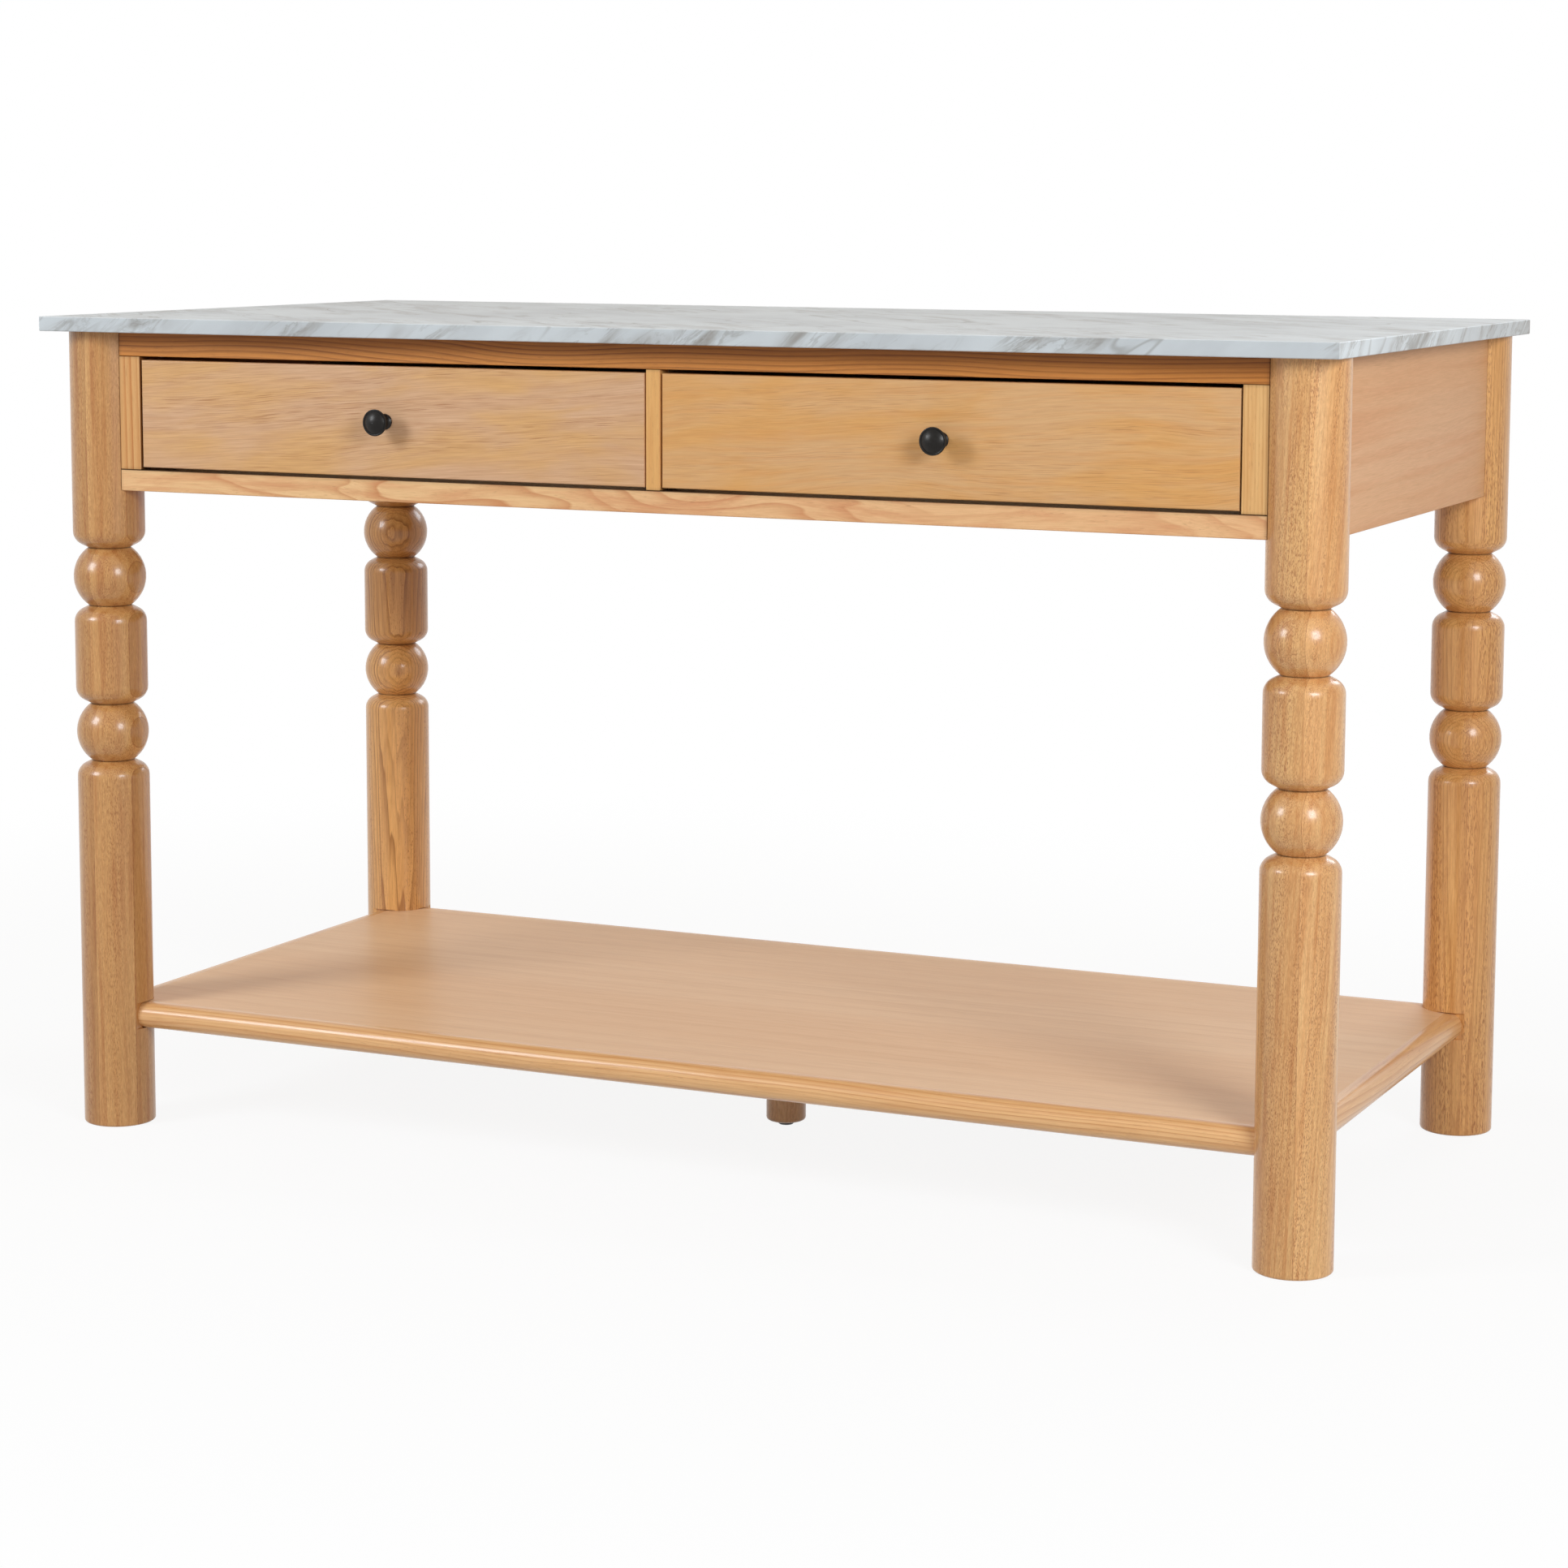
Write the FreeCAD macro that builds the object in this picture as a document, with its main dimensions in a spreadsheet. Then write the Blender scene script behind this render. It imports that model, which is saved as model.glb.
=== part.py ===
import FreeCAD, Part
import math
import os
import re

import Sketcher

# Kitchen island: a stone-look worktop on four turned legs, an apron with a pair of
# drawers behind a face frame, and a low shelf with rounded edges on a centre foot.
# Millimetres. The origin is on the floor under the middle of the worktop.
# X runs to the right of someone at the drawers, Y away from them, Z up.

# Driving dimensions
SIZES = {
    "worktop_width": 1480,
    "worktop_depth": 740,
    "worktop_thickness": 16,
    "island_height": 914,
    "edge_ease": 0.8,
    "fit_gap": 0.3,
    # turned legs: necks are the narrow rings between beads and barrel, from the floor
    "leg_diameter": 80,
    "leg_inset_side": 46,
    "leg_inset_front": 60,
    "neck_radius": 23.5,
    "neck_lowest": 416,
    "neck_second": 480.5,
    "neck_third": 591,
    "neck_highest": 656,
    "shoulder_rise": 8.5,
    "shoulder_round": 16,
    "leg_foot_round": 3,
    # apron: flats are cut into the legs at this distance from their axes
    "apron_height": 176,
    "apron_thickness": 20,
    "apron_face": 22.5,
    "apron_flat": 33,
    "top_rail_height": 27,
    "bottom_rail_height": 23.5,
    "bottom_rail_depth": 45,
    "stile_width": 27,
    "centre_stile_width": 16,
    "dowel_diameter": 8,
    "dowel_length": 30,
    "batten_thickness": 17,
    "batten_height": 66,
    # corner blocks, each drawn up to its leg by a hanger bolt
    "block_start": 46,
    "block_thickness": 22,
    "bolt_diameter": 8,
    "bolt_root": 6,
    "bolt_spare": 4,
    "washer_diameter": 18,
    "washer_thickness": 1.6,
    "nut_flats": 13,
    "nut_height": 6.5,
    "screw_diameter": 4,
    "screw_head_diameter": 8,
    "screw_head_height": 2.4,
    "screw_bite": 11,
    "screw_spread": 28,
    # shelf: a panel with half-round edges, let into shallow flats in the legs
    "shelf_top": 140,
    "nosing_thickness": 29,
    "nosing_width": 20,
    "nosing_reach": 14,
    "shelf_panel_thickness": 22,
    "shelf_flat": 36.4,
    "shelf_housing": 30,
    "shelf_bolt_diameter": 6,
    "shelf_bolt_head_diameter": 10,
    "shelf_bolt_head_height": 6,
    "shelf_bolt_root": 8,
    "shelf_pocket_start": 62,
    "shelf_pocket_length": 26,
    "shelf_pocket_width": 18,
    "shelf_pocket_depth": 17,
    # centre foot under the shelf
    "foot_diameter": 45,
    "foot_round": 4,
    "glide_diameter": 19,
    "glide_height": 5,
    "glide_stem_diameter": 6,
    "glide_stem_length": 20,
    "stud_diameter": 8,
    "stud_in_foot": 32,
    "stud_in_shelf": 15,
    # drawers
    "drawer_gap_side": 2,
    "drawer_gap_top": 4.2,
    "drawer_gap_bottom": 3,
    "drawer_front_thickness": 18,
    "drawer_front_round": 1.5,
    "drawer_recess": 1,
    "drawer_side_thickness": 12,
    "drawer_side_height": 98,
    "drawer_side_lift": 4,
    "drawer_depth": 590,
    "drawer_bottom_thickness": 5,
    "drawer_bottom_lift": 8,
    "groove_depth": 6,
    "groove_play": 0.2,
    # telescopic slides: three nested channels bent from sheet steel
    "slide_space": 13,
    "slide_length": 550,
    "slide_height": 45,
    "slide_sheet": 1.2,
    "slide_play": 0.6,
    "slide_setback": 3,
    "slide_flange": 9.5,
    "slide_bend": 2.2,
    "slide_hole_diameter": 4.5,
    "slide_hole_end": 37,
    # knobs
    "knob_diameter": 28.5,
    "knob_base_diameter": 17,
    "knob_neck_diameter": 11,
    "knob_collar_diameter": 18,
    "knob_flange": 1.8,
    "knob_neck_height": 8.5,
    "knob_collar_height": 15.5,
    "knob_collar_width": 1.6,
    "knob_rim_height": 20.6,
    "knob_rim_width": 1.4,
    "knob_step": 1,
    "knob_projection": 26.5,
    "knob_screw_diameter": 4,
    "knob_screw_bite": 10,
}

# Places that follow from the driving dimensions
LEG_X = "(worktop_width / 2 - leg_inset_side)"
LEG_Y = "(worktop_depth / 2 - leg_inset_front)"
APRON_TOP = "(island_height - worktop_thickness)"
APRON_LOW = f"({APRON_TOP} - apron_height)"
FRAME_END = f"({LEG_X} - apron_flat)"
PANEL_END = f"({LEG_Y} - apron_flat)"
APRON_FRONT = f"({LEG_Y} + apron_face)"
APRON_INSIDE = f"({APRON_FRONT} - apron_thickness)"
APRON_SIDE = f"({LEG_X} + apron_face)"
OPENING_TOP = f"({APRON_TOP} - top_rail_height)"
OPENING_LOW = f"({APRON_LOW} + bottom_rail_height)"
OPENING_START = "(centre_stile_width / 2)"
OPENING_END = f"({FRAME_END} - stile_width)"
DRAWER_X = f"(({OPENING_START} + {OPENING_END}) / 2)"
UPPER_DOWEL = f"({APRON_TOP} - top_rail_height / 2)"
LOWER_DOWEL = f"({APRON_LOW} + bottom_rail_height / 2)"
DOWEL_OUT = "(apron_face - apron_thickness / 2)"
BLOCK_END = "(block_start + block_thickness)"
BLOCK_MIDDLE = "(block_start + block_thickness / 2)"
SHELF_UNDER = "(shelf_top - shelf_panel_thickness)"
SHELF_BOLT_HEIGHT = f"({SHELF_UNDER} + shelf_panel_thickness / 2)"
SLIDE_HEIGHT = f"({OPENING_LOW} + drawer_gap_bottom + drawer_side_lift + drawer_side_height / 2)"
SLIDE_FRONT = f"(-{APRON_INSIDE} + slide_setback)"
DRAWER_BACK_OF_FRONT = f"(-{APRON_FRONT} + drawer_recess + drawer_front_thickness)"

# Each corner's name, its side of the island in X and Y, and how far its leg is turned
CORNERS = [
    ("front_left", -1, -1, 0),
    ("front_right", 1, -1, 90),
    ("rear_right", 1, 1, 180),
    ("rear_left", -1, 1, 270),
]
DIAGONAL = 45
UP = FreeCAD.Vector(0, 0, 1)
ALONG_X = FreeCAD.Rotation(FreeCAD.Vector(0, 1, 0), 90)
ALONG_Y = FreeCAD.Rotation(FreeCAD.Vector(1, 0, 0), -90)
TOWARDS_USER = FreeCAD.Rotation(FreeCAD.Vector(1, 0, 0), 90)

doc = FreeCAD.newDocument("kitchen_island")
sheet = doc.addObject("Spreadsheet::Sheet", "Sizes")
for row, (alias, number) in enumerate(SIZES.items(), start=1):
    sheet.set(f"A{row}", alias)
    sheet.set(f"B{row}", str(number))
    sheet.setAlias(f"B{row}", alias)
doc.recompute()

nodes = []


# Expressions, sketches and features

def sized(text):
    """The expression with each driving dimension looked up in the sheet."""
    return re.sub(r"[a-z_]+", lambda word: f"Sizes.{word[0]}" if word[0] in SIZES else word[0], text)


def value(text):
    """The number that an expression comes to, in millimetres."""
    return float(sheet.evalExpression(sized(text)))


def bind(item, name, text):
    """Binds a property or a sketch's constraint to an expression."""
    item.setExpression(name, sized(text))


def place(item, x, y, z, turn=None):
    """Stands a piece at a point, turned about it."""
    if turn is not None:
        item.Placement = FreeCAD.Placement(FreeCAD.Vector(), turn)
    for axis, text in zip("xyz", (x, y, z)):
        bind(item, f"Placement.Base.{axis}", text)


def keep(item, label):
    """Names a finished sub-part and puts it on the list of nodes."""
    item.Label = label
    nodes.append(item)
    return item


def new_body(name):
    return doc.addObject("PartDesign::Body", name)


def new_sketch(body, name, role="XY_Plane", offset=("0", "0", "0"), turn=None):
    """A sketch on one of the body's origin planes, moved and turned in that plane's own axes."""
    plane = next(item for item in body.Origin.OriginFeatures if item.Role == role)
    sketch = body.newObject("Sketcher::SketchObject", name)
    sketch.AttachmentSupport = [(plane, "")]
    sketch.MapMode = "FlatFace"
    if turn is not None:
        sketch.AttachmentOffset = FreeCAD.Placement(FreeCAD.Vector(), turn)
    for axis, text in zip("xyz", offset):
        bind(sketch, f"AttachmentOffset.Base.{axis}", text)
    return sketch


def fix_point(sketch, geometry, point, x, y=None):
    """Dimensions a point of the sketch from its origin."""
    for kind, text in (("DistanceX", x), ("DistanceY", y)):
        if text is not None:
            index = sketch.addConstraint(Sketcher.Constraint(kind, -1, 1, geometry, point, value(text)))
            bind(sketch, f"Constraints[{index}]", text)


def outline(sketch, corners, arcs=None):
    """A closed outline through corners. arcs gives, for the side after a corner, the arc's centre
    and whether it runs counter-clockwise."""
    arcs = arcs or {}
    numbers = [FreeCAD.Vector(value(x), value(y), 0) for x, y in corners]
    ends = []
    for side, start in enumerate(numbers):
        stop = numbers[(side + 1) % len(numbers)]
        if side not in arcs:
            sketch.addGeometry(Part.LineSegment(start, stop), False)
            ends.append((1, 2))
            continue
        centre_x, centre_y, counter = arcs[side]
        centre = FreeCAD.Vector(value(centre_x), value(centre_y), 0)
        circle = Part.Circle(centre, UP, (start - centre).Length)
        first, last = (start, stop) if counter else (stop, start)
        angles = [math.atan2(point.y - centre.y, point.x - centre.x) for point in (first, last)]
        sketch.addGeometry(Part.ArcOfCircle(circle, *angles), False)
        ends.append((1, 2) if counter else (2, 1))
    for side in range(len(numbers)):
        following = (side + 1) % len(numbers)
        joint = Sketcher.Constraint("Coincident", side, ends[side][1], following, ends[following][0])
        sketch.addConstraint(joint)
    for side, (x, y) in enumerate(corners):
        fix_point(sketch, side, ends[side][0], x, y)
    for side, (centre_x, _, _) in arcs.items():
        fix_point(sketch, side, 3, centre_x)


def rectangle(sketch, left, low, right, high):
    outline(sketch, [(left, low), (right, low), (right, high), (left, high)])


def circles(sketch, centres, diameter):
    """Equal circles at the given centres."""
    for x, y in centres:
        middle = FreeCAD.Vector(value(x), value(y), 0)
        index = sketch.addGeometry(Part.Circle(middle, UP, value(diameter) / 2), False)
        fix_point(sketch, index, 3, x, y)
        size = sketch.addConstraint(Sketcher.Constraint("Diameter", index, value(diameter)))
        bind(sketch, f"Constraints[{size}]", diameter)


def pad(body, sketch, length, reverse=False):
    feature = body.newObject("PartDesign::Pad", f"{sketch.Name}_pad")
    feature.Profile = sketch
    feature.Reversed = reverse
    bind(feature, "Length", length)
    return feature


def pocket(body, sketch, length, reverse=False):
    """Cuts the sketch into the body, and makes sure that something was cut."""
    doc.recompute()
    before = body.Shape.Volume
    feature = body.newObject("PartDesign::Pocket", f"{sketch.Name}_cut")
    feature.Profile = sketch
    feature.Reversed = reverse
    bind(feature, "Length", length)
    doc.recompute()
    if not body.Shape.Volume < before:
        raise RuntimeError(f"{feature.Name} cuts nothing")
    return feature


def drill(body, name, role, centres, diameter, depth, start="0", reverse=False, turn=None):
    """Round holes from a plane parallel to an origin plane."""
    sketch = new_sketch(body, name, role, ("0", "0", start), turn)
    circles(sketch, centres, diameter)
    return pocket(body, sketch, depth, reverse)


def revolve(body, sketch):
    feature = body.newObject("PartDesign::Revolution", f"{sketch.Name}_turned")
    feature.Profile = sketch
    feature.ReferenceAxis = (sketch, ["V_Axis"])
    feature.Angle = 360
    return feature


def dress(body, kind, size, chosen):
    """Rounds or chamfers the body's edges that the test chosen picks."""
    doc.recompute()
    base = body.Tip
    names = [f"Edge{index}" for index, edge in enumerate(base.Shape.Edges, start=1) if chosen(edge)]
    if not names:
        raise RuntimeError(f"{body.Name} has no such edges")
    feature = body.newObject(f"PartDesign::{kind}", f"{body.Name}_{kind.lower()}")
    feature.Base = (base, names)
    bind(feature, "Radius" if kind == "Fillet" else "Size", size)
    doc.recompute()
    return feature


def board(name, low, high):
    """A sawn board between two opposite corners, with its edges eased."""
    body = new_body(name)
    place(body, *low)
    length, width, height = (f"({far}) - ({near})" for near, far in zip(low, high))
    sketch = new_sketch(body, f"{name}_outline")
    rectangle(sketch, "0", "0", length, width)
    pad(body, sketch, height)
    dress(body, "Chamfer", "edge_ease", lambda edge: True)
    return body


def side_range(side, low, high):
    """A stretch of X on the right of the middle, or its mirror image on the left."""
    return (low, high) if side > 0 else (f"-{high}", f"-{low}")


def group(label, master, placements):
    """Identical fasteners: copies of one master, each its own solid, in one node."""
    copies = []
    for index, placement in enumerate(placements, start=1):
        copy = doc.addObject("App::Link", f"{label}_{index}")
        copy.LinkedObject = master
        copy.Placement = placement
        copies.append(copy)
    bunch = doc.addObject("Part::Compound", label)
    bunch.Links = copies
    return keep(bunch, label)


def at_corner(side_x, side_y, turn, along, across, height):
    """A placement in a corner's own frame: along the diagonal into the island, across it, and up."""
    axis = FreeCAD.Vector(side_x * value(LEG_X), side_y * value(LEG_Y), 0)
    frame = FreeCAD.Placement(axis, FreeCAD.Rotation(UP, turn + DIAGONAL))
    return frame.multiply(FreeCAD.Placement(FreeCAD.Vector(along, across, height), FreeCAD.Rotation()))


# Worktop

def make_worktop():
    """The slab, with pilot holes underneath for the screws that come up through the corner blocks."""
    half_width, half_depth = "worktop_width / 2", "worktop_depth / 2"
    body = board(
        "worktop",
        (f"-{half_width}", f"-{half_depth}", APRON_TOP),
        (half_width, half_depth, "island_height"),
    )
    holes = []
    for _, side_x, side_y, _ in CORNERS:
        for spread in (-1, 1):
            in_x = f"{LEG_X} - ({BLOCK_MIDDLE} + {spread} * screw_spread) / sqrt(2)"
            in_y = f"{LEG_Y} - ({BLOCK_MIDDLE} - {spread} * screw_spread) / sqrt(2)"
            holes.append((f"{half_width} + {side_x} * ({in_x})", f"{half_depth} + {side_y} * ({in_y})"))
    drill(body, "worktop_pilots", "XY_Plane", holes, "screw_diameter + 0.2", "screw_bite + 1", reverse=True)
    keep(body, "worktop")


# Legs

def make_leg(corner, side_x, side_y, turn):
    """A turned leg. Two flats at the apron and two at the shelf face into the island."""
    radius = "leg_diameter / 2"
    body = new_body(f"leg_{corner}")
    place(body, f"{side_x} * {LEG_X}", f"{side_y} * {LEG_Y}", "0", FreeCAD.Rotation(UP, turn))
    profile = new_sketch(body, f"leg_{corner}_profile", "XZ_Plane")
    corners = [
        ("0", "0"),
        (radius, "0"),
        (radius, "neck_lowest - shoulder_rise"),
        ("neck_radius", "neck_lowest"),
        ("neck_radius", "neck_second"),
        (radius, "neck_second + shoulder_rise"),
        (radius, "neck_third - shoulder_rise"),
        ("neck_radius", "neck_third"),
        ("neck_radius", "neck_highest"),
        (radius, "neck_highest + shoulder_rise"),
        (radius, APRON_TOP),
        ("0", APRON_TOP),
    ]
    beads = {
        3: ("0", "(neck_lowest + neck_second) / 2", True),
        7: ("0", "(neck_third + neck_highest) / 2", True),
    }
    outline(profile, corners, beads)
    revolve(body, profile)
    shoulders = [value(corners[index][1]) for index in (2, 5, 6, 9)]

    def is_ring(edge, heights):
        box = edge.BoundBox
        wide = box.XLength > value(radius)
        return wide and box.ZLength < 1e-6 and any(abs(box.ZMin - level) < 1e-3 for level in heights)

    dress(body, "Fillet", "shoulder_round", lambda edge: is_ring(edge, shoulders))
    dress(body, "Fillet", "leg_foot_round", lambda edge: is_ring(edge, [0]))
    beyond = f"{radius} + 2"
    housings = (
        ("apron", "apron_flat", APRON_LOW, "apron_height + 1"),
        ("shelf", "shelf_flat", "shelf_top - nosing_thickness", "shelf_housing"),
    )
    for name, flat, start, height in housings:
        sketch = new_sketch(body, f"leg_{corner}_{name}_housing", "XY_Plane", ("0", "0", start))
        outline(sketch, [
            (flat, f"-({beyond})"), (beyond, f"-({beyond})"), (beyond, beyond),
            (f"-({beyond})", beyond), (f"-({beyond})", flat), (flat, flat),
        ])
        pocket(body, sketch, height, reverse=True)
    dowel_hole = "dowel_diameter + 0.2"
    dowel_depth = "dowel_length / 2 + 2"
    in_flat = [(f"-{DOWEL_OUT}", height) for height in (LOWER_DOWEL, UPPER_DOWEL)]
    drill(body, f"leg_{corner}_dowels_x", "YZ_Plane", in_flat, dowel_hole, dowel_depth, "apron_flat")
    drill(body, f"leg_{corner}_dowels_y", "XZ_Plane", in_flat, dowel_hole, dowel_depth,
          "-apron_flat", reverse=True)
    diagonal = FreeCAD.Rotation(FreeCAD.Vector(0, 1, 0), DIAGONAL)
    bolt_holes = (
        ("bolt", UPPER_DOWEL, "bolt_diameter", "bolt_root"),
        ("shelf_bolt", SHELF_BOLT_HEIGHT, "shelf_bolt_diameter", "shelf_bolt_root"),
    )
    for name, height, diameter, root in bolt_holes:
        start = f"{root} / sqrt(2)"
        sketch = new_sketch(body, f"leg_{corner}_{name}", "YZ_Plane", (start, "0", start), diagonal)
        circles(sketch, [("0", height)], f"{diameter} + 0.2")
        pocket(body, sketch, radius, reverse=True)
    keep(body, f"leg_{corner}")


# Apron

def make_rail(name, low, high, depth):
    """A rail of the face frame, doweled into the legs at both ends."""
    body = board(
        name,
        (f"-{FRAME_END}", f"-{APRON_FRONT}", low),
        (FRAME_END, f"-{APRON_FRONT} + {depth}", high),
    )
    drill_ends(body, "YZ_Plane", f"2 * {FRAME_END}", [f"(({high}) - ({low})) / 2"])
    keep(body, name)


def drill_ends(body, role, length, heights):
    """Dowel holes in both ends of a board, half the apron's thickness behind its first face."""
    holes = [("apron_thickness / 2", height) for height in heights]
    for end, start in (("near", "0"), ("far", length)):
        towards_far = (end == "near") == (role == "YZ_Plane")
        offset = start if role == "YZ_Plane" else f"-({start})"
        drill(body, f"{body.Name}_{end}_dowels", role, holes, "dowel_diameter + 0.2",
              "dowel_length / 2 + 2", offset, towards_far)


def make_face_frame():
    """Rails and stiles. The bottom rail is deep enough to close the gap under the drawer fronts."""
    make_rail("top_rail", OPENING_TOP, APRON_TOP, "apron_thickness")
    make_rail("bottom_rail", APRON_LOW, OPENING_LOW, "bottom_rail_depth")
    stiles = (
        ("stile_left", f"-{FRAME_END}", f"-{OPENING_END}"),
        ("stile_right", OPENING_END, FRAME_END),
        ("centre_stile", f"-{OPENING_START}", OPENING_START),
    )
    for name, left, right in stiles:
        low = (left, f"-{APRON_FRONT}", OPENING_LOW)
        keep(board(name, low, (right, f"-{APRON_INSIDE}", OPENING_TOP)), name)


def make_apron_panels():
    """The plain side panels and the back panel, between the legs."""
    heights = [f"{level} - {APRON_LOW}" for level in (LOWER_DOWEL, UPPER_DOWEL)]
    for name, side in (("side_panel_left", -1), ("side_panel_right", 1)):
        near, far = side_range(side, f"({APRON_SIDE} - apron_thickness)", APRON_SIDE)
        body = board(name, (near, f"-{PANEL_END}", APRON_LOW), (far, PANEL_END, APRON_TOP))
        drill_ends(body, "XZ_Plane", f"2 * {PANEL_END}", heights)
        keep(body, name)
    body = board(
        "back_panel",
        (f"-{FRAME_END}", APRON_INSIDE, APRON_LOW),
        (FRAME_END, APRON_FRONT, APRON_TOP),
    )
    drill_ends(body, "YZ_Plane", f"2 * {FRAME_END}", heights)
    keep(body, "back_panel")


def make_slide_carriers():
    """The divider between the drawers, standing on the bottom rail, and the batten on each drawer's
    outer side."""
    divider = board(
        "centre_divider",
        (f"-{OPENING_START}", f"-{APRON_INSIDE}", OPENING_LOW),
        (OPENING_START, APRON_INSIDE, APRON_TOP),
    )
    keep(divider, "centre_divider")
    for name, side in (("slide_batten_left", -1), ("slide_batten_right", 1)):
        near, far = side_range(side, OPENING_END, f"({OPENING_END} + batten_thickness)")
        low = (near, f"-{APRON_INSIDE}", f"{SLIDE_HEIGHT} - batten_height / 2")
        keep(board(name, low, (far, APRON_INSIDE, f"{SLIDE_HEIGHT} + batten_height / 2")), name)


def make_dowels():
    """Plain dowels, half in the leg and half in the end of a rail or panel."""
    dowel = doc.addObject("Part::Cylinder", "dowel")
    bind(dowel, "Radius", "dowel_diameter / 2")
    bind(dowel, "Height", "dowel_length")
    half = value("dowel_length") / 2
    placements = []
    for _, side_x, side_y, _ in CORNERS:
        for height in (value(LOWER_DOWEL), value(UPPER_DOWEL)):
            rail_end = FreeCAD.Vector(side_x * value(FRAME_END) - half,
                                      side_y * value(f"{LEG_Y} + {DOWEL_OUT}"), height)
            panel_end = FreeCAD.Vector(side_x * value(f"{LEG_X} + {DOWEL_OUT}"),
                                       side_y * value(PANEL_END) - half, height)
            placements.append(FreeCAD.Placement(rail_end, ALONG_X))
            placements.append(FreeCAD.Placement(panel_end, ALONG_Y))
    group("dowels", dowel, placements)


# Corner blocks and their fasteners

def make_corner_block(corner, side_x, side_y, turn):
    """A block across the corner behind a leg, between the rail and the side panel."""
    name = f"corner_block_{corner}"
    body = new_body(name)
    turned = FreeCAD.Rotation(UP, turn + DIAGONAL)
    place(body, f"{side_x} * {LEG_X}", f"{side_y} * {LEG_Y}", OPENING_TOP, turned)
    sketch = new_sketch(body, f"{name}_outline")
    spread = "(apron_face - apron_thickness) * sqrt(2)"
    near, far = f"block_start + {spread}", f"{BLOCK_END} + {spread}"
    outline(sketch, [
        ("block_start", f"-({near})"), (BLOCK_END, f"-({far})"),
        (BLOCK_END, far), ("block_start", near),
    ])
    pad(body, sketch, "top_rail_height")
    drill(body, f"{name}_bolt", "YZ_Plane", [("0", "top_rail_height / 2")], "bolt_diameter + 1",
          BLOCK_END, reverse=True)
    screws = [(BLOCK_MIDDLE, "screw_spread"), (BLOCK_MIDDLE, "-screw_spread")]
    drill(body, f"{name}_screws", "XY_Plane", screws, "screw_diameter + 0.4", "top_rail_height", reverse=True)
    keep(body, name)


def ring_of(name, outer, inner, height):
    """A flat ring."""
    parts = []
    for part, diameter in (("outside", outer), ("bore", inner)):
        cylinder = doc.addObject("Part::Cylinder", f"{name}_{part}")
        bind(cylinder, "Radius", f"({diameter}) / 2")
        bind(cylinder, "Height", height)
        parts.append(cylinder)
    ring = doc.addObject("Part::Cut", name)
    ring.Base, ring.Tool = parts
    return ring


def headed(name, head_diameter, head_height, diameter, length):
    """A bolt or screw: its head below its own origin and its shank above."""
    parts = []
    for part, size, height in (("head", head_diameter, head_height), ("shank", diameter, length)):
        cylinder = doc.addObject("Part::Cylinder", f"{name}_{part}")
        bind(cylinder, "Radius", f"({size}) / 2")
        bind(cylinder, "Height", height)
        parts.append(cylinder)
    bind(parts[0], "Placement.Base.z", f"-{head_height}")
    joined = doc.addObject("Part::Fuse", name)
    joined.Base, joined.Tool = parts
    return joined


def make_leg_fasteners():
    """Each leg's hanger bolt, screwed into the leg, with a washer and a nut behind the block."""
    height = value(UPPER_DOWEL)
    bolt = doc.addObject("Part::Cylinder", "leg_bolt")
    bind(bolt, "Radius", "bolt_diameter / 2")
    bind(bolt, "Height", f"{BLOCK_END} + washer_thickness + nut_height + bolt_spare - bolt_root")
    washer = ring_of("leg_washer", "washer_diameter", "bolt_diameter + 0.6", "washer_thickness")
    hexagon = doc.addObject("Part::Prism", "leg_nut_hexagon")
    hexagon.Polygon = 6
    bind(hexagon, "Circumradius", "nut_flats / sqrt(3)")
    bind(hexagon, "Height", "nut_height")
    bore = doc.addObject("Part::Cylinder", "leg_nut_bore")
    bind(bore, "Radius", "bolt_diameter / 2 + 0.1")
    bind(bore, "Height", "nut_height")
    nut = doc.addObject("Part::Cut", "leg_nut")
    nut.Base, nut.Tool = hexagon, bore
    rows = (
        ("leg_bolts", bolt, value("bolt_root")),
        ("leg_washers", washer, value(BLOCK_END)),
        ("leg_nuts", nut, value(f"{BLOCK_END} + washer_thickness")),
    )
    turned = FreeCAD.Placement(FreeCAD.Vector(), ALONG_X)
    for label, master, along in rows:
        places = [at_corner(*corner[1:], along, 0, height).multiply(turned) for corner in CORNERS]
        group(label, master, places)


def make_worktop_screws():
    screw = headed("worktop_screw", "screw_head_diameter", "screw_head_height", "screw_diameter",
                   "top_rail_height + screw_bite")
    places = []
    for corner in CORNERS:
        for spread in (-1, 1):
            across = spread * value("screw_spread")
            places.append(at_corner(*corner[1:], value(BLOCK_MIDDLE), across, value(OPENING_TOP)))
    group("worktop_screws", screw, places)


# Shelf

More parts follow.
